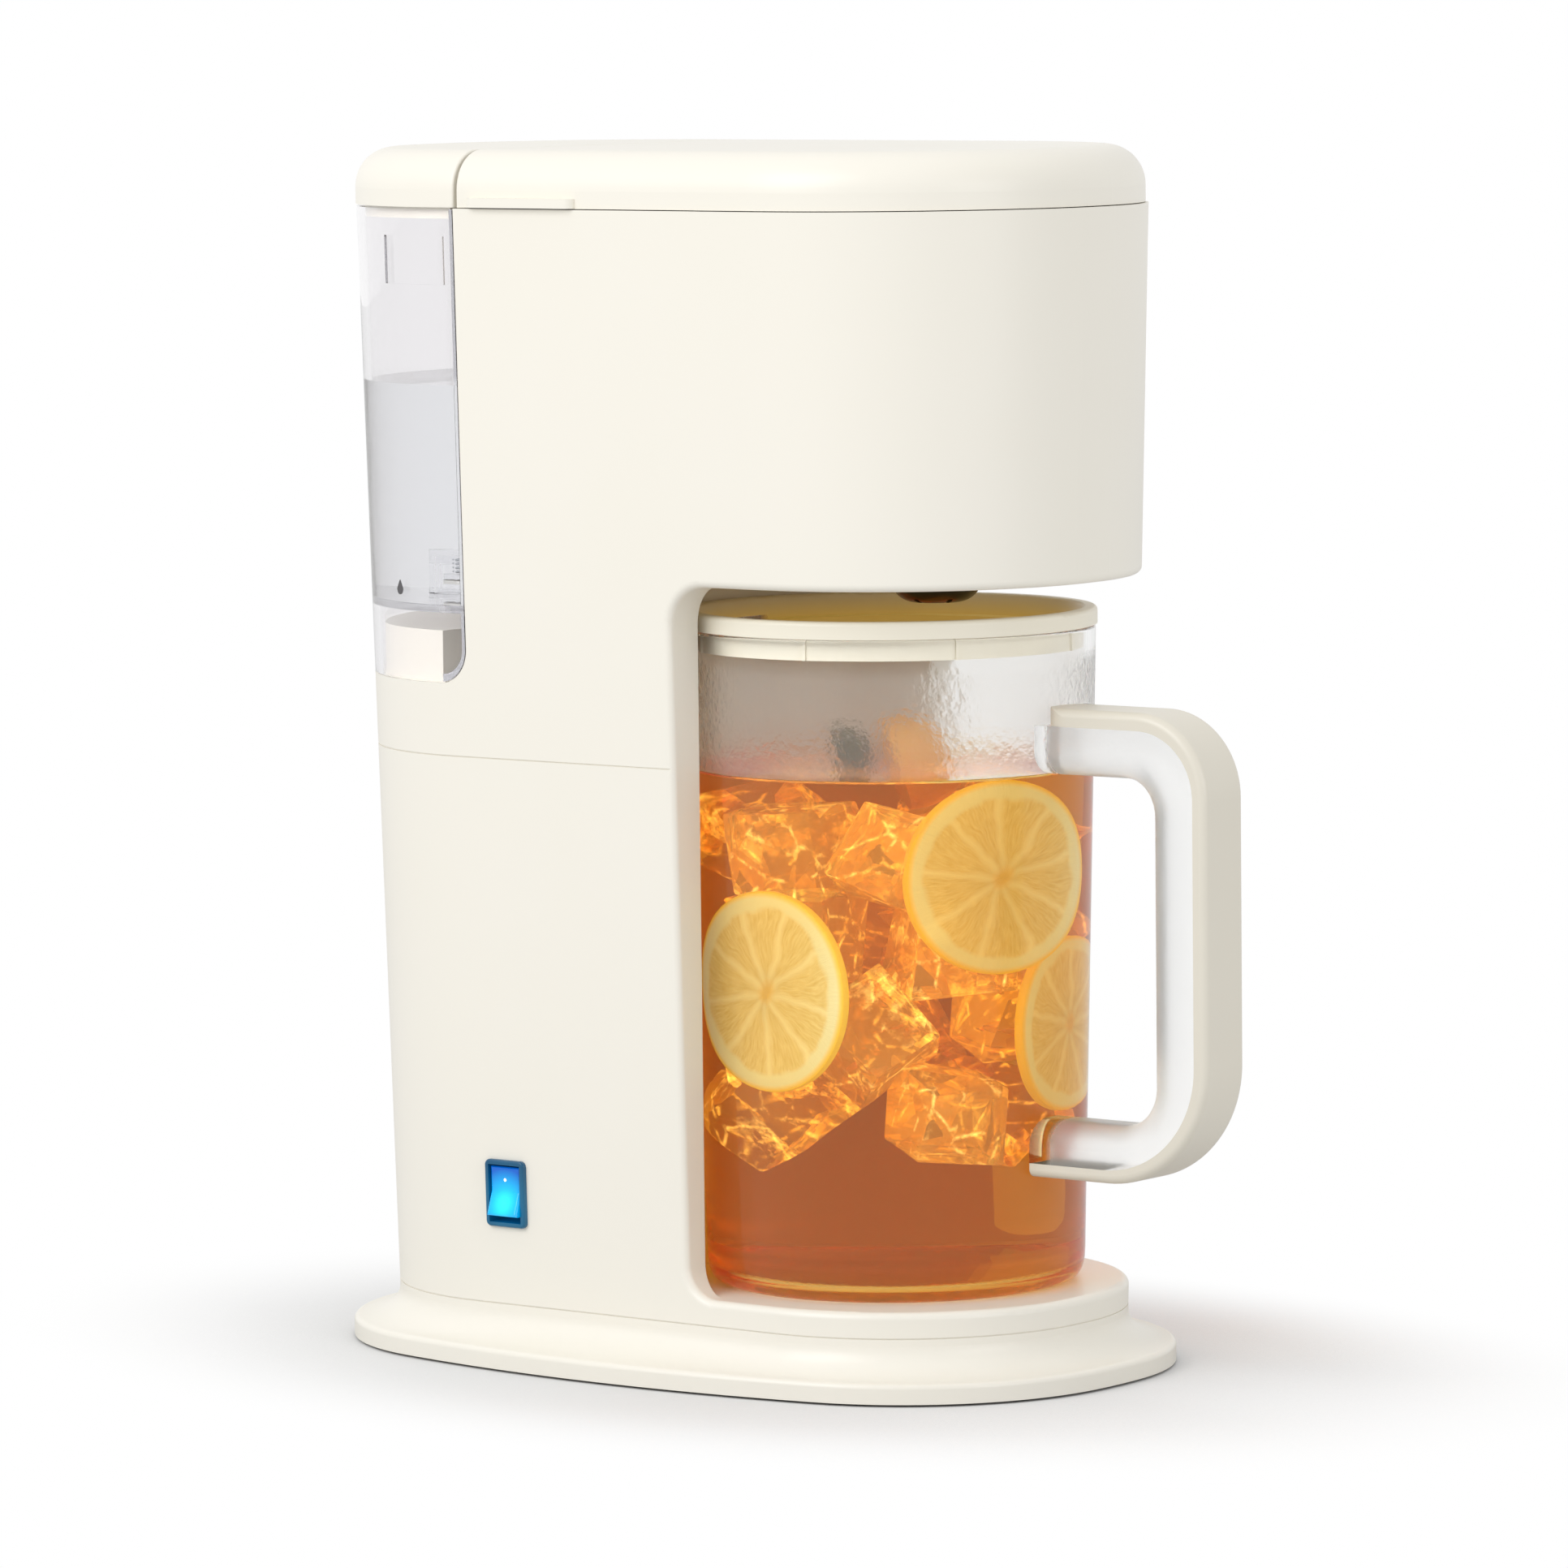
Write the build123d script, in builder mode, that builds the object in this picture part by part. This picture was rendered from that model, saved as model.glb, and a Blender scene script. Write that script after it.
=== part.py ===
from build123d import *
from math import cos, sin, tan, radians
import os

os.makedirs("parts", exist_ok=True)

# Iced tea maker: a clear lift-out tank at the rear, a brew head over a clear pitcher, a flared foot.
# Millimetres, +Z up, front (the pitcher's handle) towards -Y. The origin is the middle of the whole
# object's footprint, on the surface that it stands on.

# ---------------------------------------------------------------- driving dimensions

WALL = 2.4              # moulded wall of the housings
GAP = 0.4               # between pieces that lift off or swing
FIT = 0.15              # looseness of a located, fixed joint
TOUCH = 0.05            # the least looseness, round a pressed or sealed joint
FAR = 400.0             # longer than anything on the object

FOOT_PROUD = 0.8        # rubber feet stand this far below the foot's rim
RIM_TOP_Z = 7.2         # top of the foot's upright rim
RISER_Z = 16.4          # the flare ends here and turns upright
SEAM_Z = 18.8           # foot meets lower housing
PLATFORM_Z = 26.9       # the pitcher stands here
MID_SEAM_Z = 192.4      # lower housing meets upper housing
TANK_BAY_Z = 215.3      # floor of the tank's bay
HEAD_Z = 249.1          # underside of the brew head
LID_SEAM_Z = 364.6      # lids meet housing and tank
TOP_Z = 382.8           # top of both lids

FOOT_HALF_LENGTH = 140.7
FOOT_HALF_WIDTH = 87.7
FOOT_CORNER_R = 74.0
FOOT_SIDE_TURN = 11.0   # half the turn of the foot's bowed side, degrees
FOOT_EDGE_R = 1.8
FLARE_MARGIN = 2.4      # flat strip of the rim's top outside the flare
FLARE_STEPS = 6

BODY_HALF_LENGTH = 126.8    # at the foot seam
BODY_HALF_WIDTH = 70.2
BODY_CORNER_R = 67.3
NOSE_TURN = 85.7        # where a corner arc meets the flatter nose arc, degrees
FLARE = 1.433           # the body widens upwards by this angle all round, degrees

PITCHER_AHEAD = 54.4    # pitcher axis in front of the body's middle
HANDLE_REACH = 126.1    # pitcher axis to the front of the handle
BODY_Y = (PITCHER_AHEAD + HANDLE_REACH - FOOT_HALF_LENGTH) / 2
PITCHER_Y = BODY_Y - PITCHER_AHEAD

BAY_R = 67.6            # hollow front of the column, round the pitcher
LIP_Y = -5.6            # front of the column's two upright lips
BAY_TOP_R = 13.0        # the lips turn into the head's underside
BAY_FOOT_R = 10.0       # and into the platform
BAY_EDGE_R = 2.4        # rounding all round the bay

TANK_Y = 75.5           # front of the tank's bay
TANK_CORNER_R = 11.0    # rounded lower front corner of the bay
TANK_LIFT = 0.3         # the tank's walls clear the bay by this
TANK_WALL = 2.4
TANK_FLOOR_LOW = 237.5
TANK_FLOOR_TOP = 239.9
SEAT_Y = 87.4           # front of the raised seat inside the tank's skirt
SEAT_TOP_Z = 231.7
PORT_Y = 116.0          # tank outlet

LID_INSET = 0.9         # the brew lid stands in from the housing all round
LID_REAR_Y = 74.9       # rear face of the brew lid
TANK_LID_Y = 76.2       # front face of the tank lid
TANK_LID_BEHIND = 1.5   # the tank lid reaches this much further back than the brew lid's outline
LID_EDGE_R = 12.5
LID_END_R = 0.8
LID_WALL = 2.4

BASKET_Y = -52.5        # brew basket and outlet axis
DECK_Z = 356.0          # top deck inside the brew head
WELL_R = 53.6
WELL_FLOOR_Z = 256.0
BASKET_RIM_R = 57.5

PITCHER_WALL = 2.8
PITCHER_TOP_Z = 233.2
PITCHER_LOW_R = 59.7    # outside radius just above the rounded bottom
PITCHER_TOP_R = 64.4
PITCHER_FOOT_R = 53.7   # radius of the ring that it stands on
LID_RIM_R = 64.9
LID_RIM_TOP_Z = 239.0
RIM_EDGE_R = 1.4

HANDLE_HALF_WIDTH = 10.7
HANDLE_TOP_Z = 210.8
HANDLE_BOTTOM_Z = 64.6
GRIP_INNER_REACH = 104.0    # pitcher axis to the finger side of the handle
COVER_BACK_REACH = 121.5    # pitcher axis to the back of the handle's cover
COVER_TOP_THICKNESS = 5.5
COVER_BOTTOM_THICKNESS = 4.4
FINGER_TOP_Z = 189.8
FINGER_BOTTOM_Z = 82.5
HANDLE_TOP_R = 26.0
HANDLE_BOTTOM_R = 38.0
FINGER_TOP_R = 11.0
FINGER_BOTTOM_R = 13.0
PUSH_UP = 1.4           # the pitcher's floor stands up inside its foot ring
GRIP_ROUND_R = 8.0
COVER_EDGE_R = 2.6
TONGUE_Y = -99.1        # where the cover's upper end stops
TONGUE_R = 9.0

SWITCH_Y = 65.4
SWITCH_Z = 54.3
BEZEL_HEIGHT = 21.4
BEZEL_WIDTH = 15.8

HINGE_X = 81.3
HINGE_FRONT_Y = -22.0
KNUCKLE_LENGTH = 15.2
KNUCKLE_COUNT = 5
KNUCKLE_R = 3.2
PIN_R = 1.2
PIN_PLAY = 0.05

SEAM_GROOVE = 0.4       # hairline where two housings meet

SCREW_R = 1.65          # self-tapping screws' shanks
SCREW_HOLE_R = 1.7
SCREW_HEAD_R = 3.2
SCREW_HEAD = 2.2
BOSS_R = 4.2


# ---------------------------------------------------------------- shared shapes

def mix(first, last, share):
    """A value part of the way from first to last."""
    return first + (last - first) * share


def oval(half_length, half_width, corner_r, side_turn=0.0):
    """A closed outline with straight or bowed sides, corner arcs and a flatter nose arc at each end."""
    turn = radians(side_turn)
    nose = radians(NOSE_TURN)
    if side_turn:
        flat = (1 - sin(nose)) / cos(nose)
        reach = half_length - corner_r - flat * (half_width - corner_r * cos(turn))
        side_r = (reach + corner_r * sin(turn)) / (sin(turn) - flat * (1 - cos(turn)))
        corner_x = half_width - side_r + (side_r - corner_r) * cos(turn)
        corner_y = (side_r - corner_r) * sin(turn)
    else:
        corner_x = half_width - corner_r
        corner_y = half_length - corner_r - corner_x * (1 - sin(nose)) / cos(nose)
    nose_r = corner_r + corner_x / cos(nose)
    nose_y = half_length - nose_r
    bend = NOSE_TURN - side_turn
    with BuildSketch() as face:
        with BuildLine():
            for side, facing in ((1, 0), (-1, 180)):
                if side_turn:
                    CenterArc((side * (half_width - side_r), 0), side_r, facing - side_turn, 2 * side_turn)
                else:
                    Line((side * half_width, -side * corner_y), (side * half_width, side * corner_y))
                CenterArc((side * corner_x, side * corner_y), corner_r, facing + side_turn, bend)
                CenterArc((0, side * nose_y), nose_r, facing + NOSE_TURN, 180 - 2 * NOSE_TURN)
                CenterArc((-side * corner_x, side * corner_y), corner_r, facing + 180 - NOSE_TURN, bend)
        make_face()
    return face.sketch


def flank_x(z):
    """Half the body's width at height z."""
    return BODY_HALF_WIDTH + (z - SEAM_Z) * tan(radians(FLARE))


def body_outline(z, inset=0.0):
    """The housing's outline at height z, taken in by inset."""
    grow = flank_x(z) - BODY_HALF_WIDTH - inset
    return oval(BODY_HALF_LENGTH + grow, BODY_HALF_WIDTH + grow, BODY_CORNER_R + grow)


def body_block(low, high, inset=0.0):
    """The flared body between two heights, as a solid."""
    with BuildPart() as block:
        with BuildSketch(Plane((0, BODY_Y, low))):
            add(body_outline(low, inset))
        extrude(amount=high - low, taper=-FLARE)
    return block.part


def crown_block(inset):
    """Both lids in one piece with a rounded top edge, taken in by inset."""
    low = LID_SEAM_Z + TANK_LIFT - inset
    with BuildPart() as crown:
        with BuildSketch(Plane((0, BODY_Y, low))):
            add(body_outline(LID_SEAM_Z, LID_INSET + inset))
        extrude(amount=TOP_Z - inset - low)
        fillet(crown.edges().group_by(Axis.Z)[-1], LID_EDGE_R - inset)
    return crown.part


def end_edges(face):
    """The edges round a lid's flat end, other than the one along the seam."""
    return face.edges().filter_by(lambda edge: (edge @ 0.5).Z > LID_SEAM_Z + LID_INSET)


def slab(front, rear, low, high, at_rear=True, low_r=0.0, high_r=0.0):
    """A slab right across the object, whose two rear (or front) corners can be rounded."""
    with BuildPart() as block:
        with BuildSketch(Plane.YZ) as profile:
            with Locations(((front + rear) / 2, (low + high) / 2)):
                Rectangle(rear - front, high - low)
            end = -1 if at_rear else 0
            if low_r:
                fillet(profile.vertices().group_by(Axis.X)[end].sort_by(Axis.Y)[0], low_r)
            if high_r:
                fillet(profile.vertices().group_by(Axis.X)[end].sort_by(Axis.Y)[-1], high_r)
        extrude(amount=FAR / 2, both=True)
    return block.part


def bay_block(grow=0.0):
    """The room that the pitcher stands in: a round hollow in the column and an open front."""
    low = PLATFORM_Z - grow
    high = HEAD_Z + grow
    with BuildPart() as bay:
        with BuildSketch(Plane((0, PITCHER_Y, low))):
            Circle(BAY_R + grow)
        extrude(amount=high - low)
        add(slab(-FAR, LIP_Y + grow, low, high, low_r=BAY_FOOT_R + grow, high_r=BAY_TOP_R + grow))
    return bay.part


def tank_bay_block(grow=0.0):
    """The room that the tank stands in, behind the brew head."""
    return slab(TANK_Y - grow, FAR, TANK_BAY_Z - grow, FAR + FAR, False, TANK_CORNER_R + grow)


def tank_block(low, high, inset, clear):
    """The tank's outline between two heights, taken in by inset and with its lower corner rounded."""
    with BuildPart() as block:
        add(body_block(low, high, inset))
        add(slab(TANK_Y + clear, FAR, TANK_BAY_Z + clear, FAR, False, TANK_CORNER_R - clear),
            mode=Mode.INTERSECT)
    return block.part


def foot_block(inset, drop):
    """The foot's rim, concave flare and riser, taken in by inset and down by drop."""
    with BuildPart() as foot:
        with BuildSketch(Plane((0, BODY_Y, FOOT_PROUD - drop))):
            add(oval(FOOT_HALF_LENGTH - inset, FOOT_HALF_WIDTH - inset, FOOT_CORNER_R - inset,
                     FOOT_SIDE_TURN))
        extrude(amount=RIM_TOP_Z - FOOT_PROUD)
        if not inset:
            fillet(foot.edges().group_by(Axis.Z)[-1], FOOT_EDGE_R)
        for step in range(FLARE_STEPS + 1):
            turn = radians(90 * step / FLARE_STEPS)
            share = sin(turn)
            taken = inset + FLARE_MARGIN * (1 - share)
            with BuildSketch(Plane((0, BODY_Y, mix(RISER_Z, RIM_TOP_Z, cos(turn)) - drop))):
                add(oval(mix(FOOT_HALF_LENGTH, BODY_HALF_LENGTH, share) - taken,
                         mix(FOOT_HALF_WIDTH, BODY_HALF_WIDTH, share) - taken,
                         mix(FOOT_CORNER_R, BODY_CORNER_R, share) - taken,
                         FOOT_SIDE_TURN * (1 - share)))
        loft()
        with BuildSketch(Plane((0, BODY_Y, RISER_Z - drop))):
            add(oval(BODY_HALF_LENGTH - inset, BODY_HALF_WIDTH - inset, BODY_CORNER_R - inset))
        extrude(amount=SEAM_Z - RISER_Z + 2 * drop)
    return foot.part


def skin_edges(shape, low, high):
    """The bay's edges on the housing's outer skin between two heights."""
    core = body_block(low - WALL, high + WALL, FIT)

    def on_skin(edge):
        middle = edge @ 0.5
        return low < middle.Z < high and middle.Y < LIP_Y + 1 and not core.is_inside(middle)
    return shape.edges().filter_by(on_skin)


def lip_ring(seam, root, reach):
    """A locating lip inside the housing's wall; root and reach are signed heights from the seam."""
    with BuildPart() as ring:
        add(body_block(min(seam, seam + root), max(seam, seam + root), WALL - FIT))
        add(body_block(min(seam, seam + reach), max(seam, seam + reach), WALL + FIT))
        add(body_block(seam - abs(reach) - 1, seam + abs(reach) + 1, WALL + LIP_WALL), mode=Mode.SUBTRACT)
        add(bay_block(WALL + 1), mode=Mode.SUBTRACT)
    return ring.part


def hairline(seam):
    """A fine groove all round the skin at a seam."""
    with BuildPart() as groove:
        add(body_block(seam - SEAM_GROOVE / 2, seam + SEAM_GROOVE / 2, -WALL))
        add(body_block(seam - SEAM_GROOVE, seam + SEAM_GROOVE, SEAM_GROOVE), mode=Mode.SUBTRACT)
    return groove.part


def both_sides(points):
    """Each point and its mirror image across the object."""
    return [(side * x, y) for x, y in points for side in (1, -1)]


def bosses(points, low, high, rib_x=0.0, rib_low=0.0):
    """Screw bosses between two heights, each ribbed above rib_low to the housing's side wall at rib_x."""
    with BuildPart() as posts:
        for x, y in both_sides(points):
            with Locations((x, y, low)):
                Cylinder(BOSS_R, high - low, align=UPRIGHT)
            if rib_x:
                side = 1 if x > 0 else -1
                with Locations(((x + side * rib_x) / 2, y, rib_low)):
                    Box(rib_x - abs(x), RIB, high - rib_low, align=UPRIGHT)
        add(body_block(low - 1, high + 1, WALL / 2), mode=Mode.INTERSECT)
    return posts.part


def screws(points, head_z, length, up=True):
    """A set of pan-head screws, their heads' outer faces at head_z."""
    way = 1 if up else -1
    with BuildPart() as group:
        for x, y in points:
            with Locations((x, y, head_z + way * SCREW_HEAD / 2)):
                Cylinder(SCREW_HEAD_R, SCREW_HEAD)
            with Locations((x, y, head_z + way * (length + SCREW_HEAD) / 2)):
                Cylinder(SCREW_R, length - SCREW_HEAD)
            for turn in (0, 90):
                with Locations(Location((x, y, head_z), (0, 0, turn))):
                    Box(SCREW_HEAD_R, DRIVE_SLOT, SCREW_HEAD, mode=Mode.SUBTRACT)
    return group.part


UPRIGHT = (Align.CENTER, Align.CENTER, Align.MIN)
ALONG_Y = (90, 0, 0)
FACING_FRONT = {"x_dir": (1, 0, 0), "z_dir": (0, -1, 0)}
LIP_WALL = 1.6
LIP_REACH = 3.6
RIB = 2.4
DRIVE_SLOT = 0.9

BASE_SCREWS = [(44, -76), (56, -6)]
REAR_SCREWS = [(46, 116)]
SEAM_SCREWS = [(62, 60), (42, 118)]
DECK_SCREWS = [(66, 14), (66, 62)]

body_bay = bay_block()
body_bay_wall = bay_block(WALL)

# ---------------------------------------------------------------- foot

PAN_LOW_Z = 1.4
PAN_TOP_Z = 3.8
PAN_BOSS_R = 5.4
PAN_BOSS_Z = 9.0
COUNTERBORE_Z = 5.0
RUBBER_R = 8.0
RUBBER_STEM_R = 3.4
RUBBER_STEM_Z = 4.8
RUBBER_POINTS = both_sides([(64, -64.1), (64, 103.9)])
VENT_LENGTH = 34.0
VENT_WIDTH = 3.4
VENT_PITCH = 9.0
VENT_COUNT = 6
VENT_Y = -40.0
RUBBER_CHAMFER = 0.5

HEATER_Z = 27.0         # centre of the flow-through heater
HEATER_BEND_Y = 76.0
HEATER_BEND_R = 26.0
HEATER_END_Y = 118.0
HEATER_WIDTH = 14.0
HEATER_HEIGHT = 22.0
HEATER_TOP_Z = HEATER_Z + HEATER_HEIGHT / 2
HEATER_REST_Y = 112.0   # the rear pair of ribs that it lies on
HEATER_REST_WIDTH = 10.0
STUB_R = 3.4
STUB_Y = 110.0
STUB_TOP_Z = 46.0
STRAP_Y = 92.0
STRAP_POSTS = [(11, STRAP_Y), (-11, STRAP_Y)]
STRAP_POST_R = 4.2
STRAP = 1.2
STRAP_WIDTH = 12.0
PAN_SCREW = 16.0        # screws' lengths, head and all
SEAM_SCREW = 20.0
DECK_SCREW = 14.0
STRAP_SCREW = 14.0

foot_outer = foot_block(0, 0)
foot_inner = foot_block(WALL, WALL)
foot_seam = hairline(SEAM_Z)
middle_seam = hairline(MID_SEAM_Z)

with BuildPart() as foot_cover:
    add(foot_outer)
    add([foot_inner, foot_seam], mode=Mode.SUBTRACT)

with BuildPart() as base_pan:
    with BuildSketch(Plane((0, BODY_Y, PAN_LOW_Z))):
        taken = WALL + FIT
        add(oval(FOOT_HALF_LENGTH - taken, FOOT_HALF_WIDTH - taken, FOOT_CORNER_R - taken, FOOT_SIDE_TURN))
    extrude(amount=PAN_TOP_Z - PAN_LOW_Z)
    for x, y in both_sides(BASE_SCREWS + REAR_SCREWS):
        with Locations((x, y, PAN_LOW_Z)):
            Cylinder(PAN_BOSS_R, PAN_BOSS_Z - PAN_LOW_Z, align=UPRIGHT)
    for x, y in STRAP_POSTS:
        with Locations((x, y, PAN_LOW_Z)):
            Cylinder(STRAP_POST_R, HEATER_TOP_Z - PAN_LOW_Z, align=UPRIGHT)
    for x, y in both_sides([(HEATER_BEND_R, HEATER_REST_Y), (HEATER_BEND_R, HEATER_BEND_Y)]):
        with Locations((x, y, PAN_LOW_Z)):
            Box(HEATER_REST_WIDTH, RIB, HEATER_Z - HEATER_HEIGHT / 2 - PAN_LOW_Z, align=UPRIGHT)
    for x, y in both_sides(BASE_SCREWS + REAR_SCREWS):
        with Locations((x, y, PAN_LOW_Z)):
            Cylinder(SCREW_HEAD_R + FIT, COUNTERBORE_Z - PAN_LOW_Z, align=UPRIGHT, mode=Mode.SUBTRACT)
            Cylinder(SCREW_HOLE_R, PAN_BOSS_Z, align=UPRIGHT, mode=Mode.SUBTRACT)
    for x, y in STRAP_POSTS:
        with Locations((x, y, PAN_TOP_Z + 1)):
            Cylinder(SCREW_HOLE_R, HEATER_TOP_Z, align=UPRIGHT, mode=Mode.SUBTRACT)
    for x, y in RUBBER_POINTS:
        with Locations((x, y, 0)):
            Cylinder(RUBBER_STEM_R, RUBBER_STEM_Z, align=UPRIGHT, mode=Mode.SUBTRACT)
    for row in range(VENT_COUNT):
        with Locations((0, VENT_Y + row * VENT_PITCH, PAN_LOW_Z)):
            Box(VENT_LENGTH, VENT_WIDTH, PAN_BOSS_Z, mode=Mode.SUBTRACT)

with BuildPart() as rubber_feet:
    for x, y in RUBBER_POINTS:
        with Locations((x, y, 0)):
            Cylinder(RUBBER_R, PAN_LOW_Z, align=UPRIGHT)
            Cylinder(RUBBER_STEM_R, RUBBER_STEM_Z, align=UPRIGHT)
    chamfer(rubber_feet.edges().group_by(Axis.Z)[0], RUBBER_CHAMFER)

base_screws = screws(both_sides(BASE_SCREWS + REAR_SCREWS), COUNTERBORE_Z - SCREW_HEAD, PAN_SCREW)

# ---------------------------------------------------------------- lower housing

BASE_BOSS_Z = PAN_BOSS_Z + FIT
REAR_BOSS_TOP_Z = 34.0
LUG_LOW_Z = 182.0
LUG_TOP_Z = 192.0
SEAM_BOSS_Z = 204.0
DECK_BOSS = 20.0

SWITCH_BODY_WIDTH = 14.0
SWITCH_BODY_HEIGHT = 19.6
SWITCH_DEPTH = 21.0
SWITCH_WELL = 9.0
BEZEL = 1.6
BEZEL_CORNER_R = 1.8
ROCKER_HALF_HEIGHT = 8.0
ROCKER_HALF_WIDTH = 5.9
ROCKER_WELL_HALF_HEIGHT = 9.2
ROCKER_WELL_HALF_WIDTH = 6.3
ROCKER_TILT = 10.0
ROCKER_PIVOT = 3.0      # depth of the rocker's axle below the housing's surface
ROCKER_CROWN = 1.0
ROCKER_KEEL = 4.5
ROCKER_KEEL_HALF_HEIGHT = 7.0
ROCKER_TURN = 10.0      # at rest its upper half is pressed in: on
ROCKER_EDGE_R = 0.8
AXLE_R = 1.1
AXLE_PLAY = 0.06
TERMINAL_PITCH = 7.0
BLADE = (4.8, 0.8, 12.0)    # flat terminals
BLADE_ROOT = 4.0

GLAND_Z = 34.0
GLAND_R = 6.0
GLAND_FLANGE_R = 9.0
GLAND_FLANGE = 2.6
GLAND_EDGE_R = 0.8
CORD_R = 3.3

# The switch's plane: origin on the left flank, Z outwards, Y up the flank.
switch_plane = Plane(origin=(-flank_x(SWITCH_Z), SWITCH_Y, SWITCH_Z), x_dir=(0, -1, 0),
                     z_dir=(-cos(radians(FLARE)), 0, -sin(radians(FLARE))))

lower_outer = body_block(SEAM_Z, MID_SEAM_Z)
lower_inner = body_block(SEAM_Z - 1, MID_SEAM_Z + 1, WALL)
lower_lip = lip_ring(SEAM_Z, LIP_REACH, -LIP_REACH)
mid_lip = lip_ring(MID_SEAM_Z, -LIP_REACH, LIP_REACH)
front_bosses = bosses(BASE_SCREWS, BASE_BOSS_Z, PLATFORM_Z - WALL / 2)
rear_bosses = bosses(REAR_SCREWS, BASE_BOSS_Z, REAR_BOSS_TOP_Z, flank_x(SEAM_Z), SEAM_Z)
seam_lugs = bosses(SEAM_SCREWS, LUG_LOW_Z, LUG_TOP_Z, flank_x(LUG_TOP_Z), LUG_LOW_Z)
seam_bosses = bosses(SEAM_SCREWS, MID_SEAM_Z, SEAM_BOSS_Z, flank_x(SEAM_BOSS_Z),
                     MID_SEAM_Z + LIP_REACH + GAP)
deck_bosses = bosses(DECK_SCREWS, DECK_Z - DECK_BOSS, DECK_Z - WALL, flank_x(DECK_Z), DECK_Z - DECK_BOSS)

with BuildPart() as lower_housing:
    add(lower_outer)
    add(body_bay, mode=Mode.SUBTRACT)
    fillet(skin_edges(lower_housing, PLATFORM_Z - 1, MID_SEAM_Z - 1), BAY_EDGE_R)
    lower_hollow = lower_inner - body_bay_wall
    add([lower_hollow, foot_seam, middle_seam], mode=Mode.SUBTRACT)
    add([lower_lip, mid_lip, front_bosses, rear_bosses, seam_lugs])
    for x, y in both_sides(BASE_SCREWS + REAR_SCREWS):
        with Locations((x, y, 0)):
            Cylinder(SCREW_HOLE_R, PLATFORM_Z - WALL, align=UPRIGHT, mode=Mode.SUBTRACT)
    for x, y in both_sides(SEAM_SCREWS):
        with Locations((x, y, LUG_LOW_Z)):
            Cylinder(SCREW_HOLE_R, LUG_TOP_Z, align=UPRIGHT, mode=Mode.SUBTRACT)
    with BuildSketch(switch_plane):
        Rectangle(SWITCH_BODY_WIDTH + 2 * FIT, SWITCH_BODY_HEIGHT + 2 * FIT)
    extrude(amount=-SWITCH_DEPTH, mode=Mode.SUBTRACT)
    with Locations(Location((0, BODY_Y + BODY_HALF_LENGTH, GLAND_Z), ALONG_Y)):
        Cylinder(GLAND_R + FIT, SWITCH_DEPTH, mode=Mode.SUBTRACT)

with BuildPart() as switch_body:
    with BuildSketch(switch_plane):
        RectangleRounded(BEZEL_WIDTH, BEZEL_HEIGHT, BEZEL_CORNER_R)
    extrude(amount=BEZEL)
    fillet(switch_body.faces().sort_by(Axis.X)[0].edges(), BEZEL / 2)
    with BuildSketch(switch_plane):
        Rectangle(SWITCH_BODY_WIDTH, SWITCH_BODY_HEIGHT)
    extrude(amount=-SWITCH_DEPTH)
    with BuildSketch(switch_plane.offset(BEZEL)):
        Rectangle(2 * ROCKER_WELL_HALF_WIDTH, 2 * ROCKER_WELL_HALF_HEIGHT)
    extrude(amount=-SWITCH_WELL - BEZEL, mode=Mode.SUBTRACT)
    with Locations(switch_plane.offset(-ROCKER_PIVOT)):
        Cylinder(AXLE_R + AXLE_PLAY, SWITCH_BODY_WIDTH, rotation=(0, 90, 0), mode=Mode.SUBTRACT)
    with Locations(switch_plane.offset(-SWITCH_DEPTH)):
        for step in (1, 0, -1):
            with Locations((0, step * TERMINAL_PITCH, -BLADE_ROOT)):
                Box(*BLADE)

with BuildPart() as switch_rocker:
    # In the rocker's own plane: X up the flank, Y outwards, about its axle.
    rocker_plane = Plane(origin=(switch_plane.offset(-ROCKER_PIVOT)).origin, x_dir=switch_plane.y_dir,
                         z_dir=switch_plane.x_dir)
    tilted_plane = Plane(origin=rocker_plane.offset(-ROCKER_HALF_WIDTH).origin, z_dir=rocker_plane.z_dir,
                         x_dir=rocker_plane.x_dir.rotate(Axis((0, 0, 0), rocker_plane.z_dir), -ROCKER_TURN))
    with BuildSketch(tilted_plane):
        top = ROCKER_PIVOT + ROCKER_CROWN
        rise = ROCKER_HALF_HEIGHT * tan(radians(ROCKER_TILT))
        with BuildLine():
            Polyline((-ROCKER_HALF_HEIGHT, top + rise), (0, top), (ROCKER_HALF_HEIGHT, top + rise),
                     (ROCKER_KEEL_HALF_HEIGHT, ROCKER_PIVOT - ROCKER_KEEL),
                     (-ROCKER_KEEL_HALF_HEIGHT, ROCKER_PIVOT - ROCKER_KEEL), close=True)
        make_face()
    extrude(amount=2 * ROCKER_HALF_WIDTH)
    fillet(switch_rocker.faces().sort_by(Axis.X)[0:2].edges(), ROCKER_EDGE_R)
    with Locations(rocker_plane):
        Cylinder(AXLE_R, SWITCH_BODY_WIDTH - 2 * FIT)

with BuildPart() as cord_gland:
    rear_y = BODY_Y + BODY_HALF_LENGTH + (GLAND_Z - SEAM_Z) * tan(radians(FLARE))
    with Locations(Location((0, rear_y, GLAND_Z), ALONG_Y)):
        with Locations((0, 0, -GLAND_FLANGE / 2 - 2 * FIT)):
            Cylinder(GLAND_FLANGE_R, GLAND_FLANGE)
        Cylinder(GLAND_R, 4 * GLAND_FLANGE)
        Cylinder(CORD_R, 8 * GLAND_FLANGE, mode=Mode.SUBTRACT)
    fillet(cord_gland.faces().sort_by(Axis.Y)[-1].edges().sort_by(Edge.length)[-1], GLAND_EDGE_R)

# ---------------------------------------------------------------- upper housing

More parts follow.
